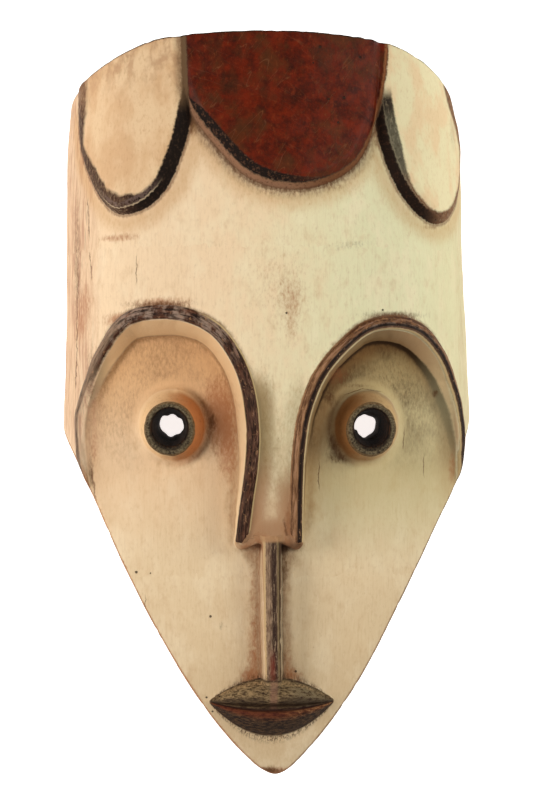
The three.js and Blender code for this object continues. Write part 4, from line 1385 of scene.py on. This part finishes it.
# painted shadow at the foot of each tube on the side towards the nose
tube_foot_shadow = near(eye_out, 24.5, 2.0, 2.5) * near(eye_up, 1, 4, 3) * step(to_nose, 2, 20)
brow.stain((84, 50, 26), tube_foot_shadow * brow.smear(0.8, 0.6) * 0.7)
ring = layers(
    mix(step(turned, 0.34, 0.66), (44, 34, 25), (114, 100, 76)),
    (step(eye_out, 14.2, 12.8) * 0.7, (26, 16, 10)),
    (near(eye_out, 16.6, 0.5, 0.6) * 0.5, (128, 96, 60)))
on_ring = step(eye_up + ragged * 0.4, 16.8, 17.8) * step(eye_out, 24, 22)
brow.stain(ring, on_ring)
# the bore is painted nearly black: dark wood with painted deep shade
bore_wood_and_shade = mix(step(brow.grain, 0.4, 0.7), (18, 11, 7), (62, 40, 25))
brow.stain(bore_wood_and_shade, step(number("bore"), 1.4, 0.4))
height = brow.relief(0.1) + streak * on_band * 0.4 + brow.small_marks()
brow.finish(blend(on_band, 0.8, 0.62), height)

# %% [markdown]
# The lower face
#
# The fin's front is streaked dark and redder at its lower end. Its left arris carries a painted highlight,
# and its right edge, its right flank and the cheek beside that are painted in shade. The upper lip is
# grey-brown, with a painted greyish sheen on its right and painted shade on its underside; the line between
# the lips is nearly black, and the lower lip reddish above and dark below. Brush marks run out from the lips
# over the clay, and under the lower lip they are its painted shadow as well.

# %% Nose
face = Ground("face")
face.whiten()
face.smudge()
stain_ledge(face)
fibre = noise(1.0, (1, 9, 1), 4, 0.75)
tick = noise(1.3, (3.2, 1.2, 1), 4, 0.75)
ragged = (tick - 0.5) * 2.2
nose, nose_depth = number("nose") + ragged * 0.35, number("nose_depth")
front = layers(
    mix(step(fibre, 0.32, 0.66), (92, 66, 52), (160, 132, 106)),
    (near(nose, 1.4, 2.0, 1.4) * step(fibre, 0.66, 0.5) * 0.9, (44, 28, 24)),
    (near(nose, 4.2, 0.8, 0.8) * 0.7, (132, 112, 76)),
    (near(nose, -0.4, 1.8, 1.2) * step(face.up, -158, -174) * 0.75, (112, 46, 34)),
    # a painted highlight on the fin's left arris, then painted shade on its right edge
    (step(nose + ragged * 0.5, -3.7, -4.6) * 0.85, (200, 168, 124)),
    (step(nose, 4.0, 4.8) * 0.85, (50, 33, 22)),
    (step(face.up, -91.5, -89) * 0.8, (176, 134, 96)))
on_nose = step(nose_depth, 2.6, 1.0) * step(abs(nose), 8, 7)
face.stain(front, on_nose)
flank = step(nose_depth, 24, 14) * step(nose_depth, 1.5, 3)
streaked = step(fibre, 0.34, 0.62)
# painted shadow on the fin's right flank; the reddish line on its left flank is a stain
face.stain((58, 38, 24), flank * near(nose, 7.0, 2.0, 1.6) * (0.35 + 0.55 * streaked))
face.stain((132, 82, 50), flank * near(nose, -7.8, 2.0, 1.4) * (0.2 + 0.5 * streaked))

# %% Mouth
lip, mouth = number("lip") + ragged * 0.9, number("mouth")
in_mouth = step(mouth + ragged * 0.03, 0.01, 0.08)
upper = layers(
    mix(step(tick, 0.36, 0.62), (52, 37, 25), (150, 124, 88)),
    # a painted greyish sheen on the right half of the upper lip
    (step(face.side, 8, 22) * step(tick, 0.4, 0.6) * 0.6, (88, 84, 68)),
    (near(lip, 14, 1.0, 1.0) * step(face.brush, 0.45, 0.6) * 0.6, (190, 156, 112)),
    (near(nose, 0.5, 2.4, 1.2) * 0.6, (146, 104, 84)),
    (step(mouth, 0.5, 0.1) * 0.5, (48, 30, 20)),
    (near(lip, 2.5, 3, 2.5) * step(abs(face.side - 2), 3, 7) * 0.6, (50, 34, 26)))
dark_half = mix(step(tick, 0.42, 0.68), (36, 22, 14), (98, 70, 46))
lower = layers(
    mix(step(tick, 0.35, 0.6), (42, 22, 13), (114, 68, 42)),
    (near(lip, -8, 1.6, 3) * step(face.side, 34, 0) * 0.6, (84, 28, 18)),
    (step(face.side, 4, 30) * step(tick, 0.5, 0.62) * 0.6, (150, 112, 74)),
    (step(lip, -9, -14), dark_half))
lips = layers(
    mix(step(lip, -6.0, -4.6), lower, upper),
    # dark paint with painted shade on the upper lip's underside, just above the line between the lips
    (near(lip, -2.2, 2.2, 1.6) * 0.8, (44, 26, 18)),
    (near(lip, -5.2, 1.0, 0.6) * 0.9, (34, 12, 9)),
    (near(lip, 16.6, 0.8, 0.8) * step(face.brush, 0.35, 0.5) * 0.85, (52, 34, 24)))
on_lips = step(lip, 18.0, 16.4) * step(lip, -25.6, -23.6) * in_mouth
face.stain(lips, on_lips)
strokes = step(noise(1.1, (1, 5, 1), 3, 0.75), 0.42, 0.6)
# dark brush strokes round the lips; under the lower lip they are its painted shadow as well
strokes_and_shadow = (zone(lip, 15, 20, 3) + zone(lip, -29, -21, 3)) * in_mouth * (1 - on_lips)
face.stain((76, 50, 32), strokes_and_shadow * strokes * 0.85)
height = face.relief(0.1) + face.small_marks() + tick * on_lips * 0.6 + fibre * on_nose * 0.5
face.finish(blend(on_lips, 0.8, 0.65), height)

# %% [markdown]
# Which part gets which material
#
# Each triangle takes the material of its part. The borders run where the materials look the same: across
# the plain forehead, across the cheeks, round the foot of the nose and inside the hollow.

# %% Parts
HAIR_FROM = 105  # heights of the borders
FACE_BELOW = -115
NOSE_BELOW = -86
NOSE_SPAN = (-10, 16)  # the sides of the nose's own column
HOLLOW_DEEP = 1.2  # wood no farther from the hollow than this is inside it

corner_of = np.empty(3 * len(mask_mesh.polygons), np.int32)
mask_mesh.polygons.foreach_get("vertices", corner_of)
corner_of = corner_of.reshape(-1, 3)
middle_x, middle_y, _ = where[corner_of].mean(1).T
in_column = (middle_x > NOSE_SPAN[0]) & (middle_x < NOSE_SPAN[1]) & (middle_y < NOSE_BELOW)
part = np.where(middle_y > HAIR_FROM, 1, np.where((middle_y < FACE_BELOW) | in_column, 3, 2))
part[seen["inner"][corner_of].max(1) < HOLLOW_DEEP] = 0
mask_mesh.polygons.foreach_set("material_index", part.astype(np.int32))
mask_mesh.update()
print("triangles of each part:", np.bincount(part).tolist())

# %% [markdown]
# Floor and light
#
# The mask lies on a plain pale floor that gives off a little light of its own, like a lit table. That
# keeps the ground nearly white and lets it shine through the two eye holes. Two large soft lamps stand
# beside the brow, one warm on the left and one cooler and greener on the right, and a weak one hangs
# overhead.

# %% Floor and light
FLOOR_HALF = 3.0  # metres
FLOOR_GLOW = 0.8
PALE, WHITE = (0.9, 0.9, 0.9, 1), (1, 1, 1, 1)
LAMPS = {  # name: place in metres, width, watts, colour
    "left_lamp": ((-1.35, 0.1, 0.95), 0.7, 17.5, (1.0, 0.95, 0.89)),
    "right_lamp": ((1.4, 0.5, 1.15), 0.9, 18.5, (0.99, 1.0, 0.91)),
    "top_lamp": ((0.0, -0.3, 2.4), 1.6, 12.0, (1.0, 0.98, 0.95)),
}
AMBIENT = 0.16  # the light that comes from all around

floor_mesh = bpy.data.meshes.new("floor")
corners = [(x * FLOOR_HALF, y * FLOOR_HALF, 0) for x, y in ((-1, -1), (1, -1), (1, 1), (-1, 1))]
floor_mesh.from_pydata(corners, [], [(0, 1, 2, 3)])
floor = add("floor", floor_mesh)
floor_finish = bpy.data.materials.new("pale_floor")
floor_finish.use_nodes = True
set_inputs(floor_finish.node_tree.nodes["Principled BSDF"], {
    "Base Color": PALE, "Roughness": 0.9, "Emission Color": WHITE, "Emission Strength": FLOOR_GLOW})
floor_mesh.materials.append(floor_finish)

for name, (place, width, watts, colour) in LAMPS.items():
    lamp_data = bpy.data.lights.new(name, "AREA")
    lamp_data.size = width
    lamp_data.energy = watts
    lamp_data.color = colour
    lamp = add(name, lamp_data)
    lamp.location = place
    lamp.rotation_euler = (-Vector(place)).to_track_quat("-Z", "Y").to_euler()

world = bpy.data.worlds.new("studio")
world.use_nodes = True
set_inputs(world.node_tree.nodes["Background"], {"Color": WHITE, "Strength": AMBIENT})
bpy.context.scene.world = world
bpy.context.scene.view_settings.view_transform = "Standard"
print(len(LAMPS), "lamps over a floor of", 2 * FLOOR_HALF, "m")
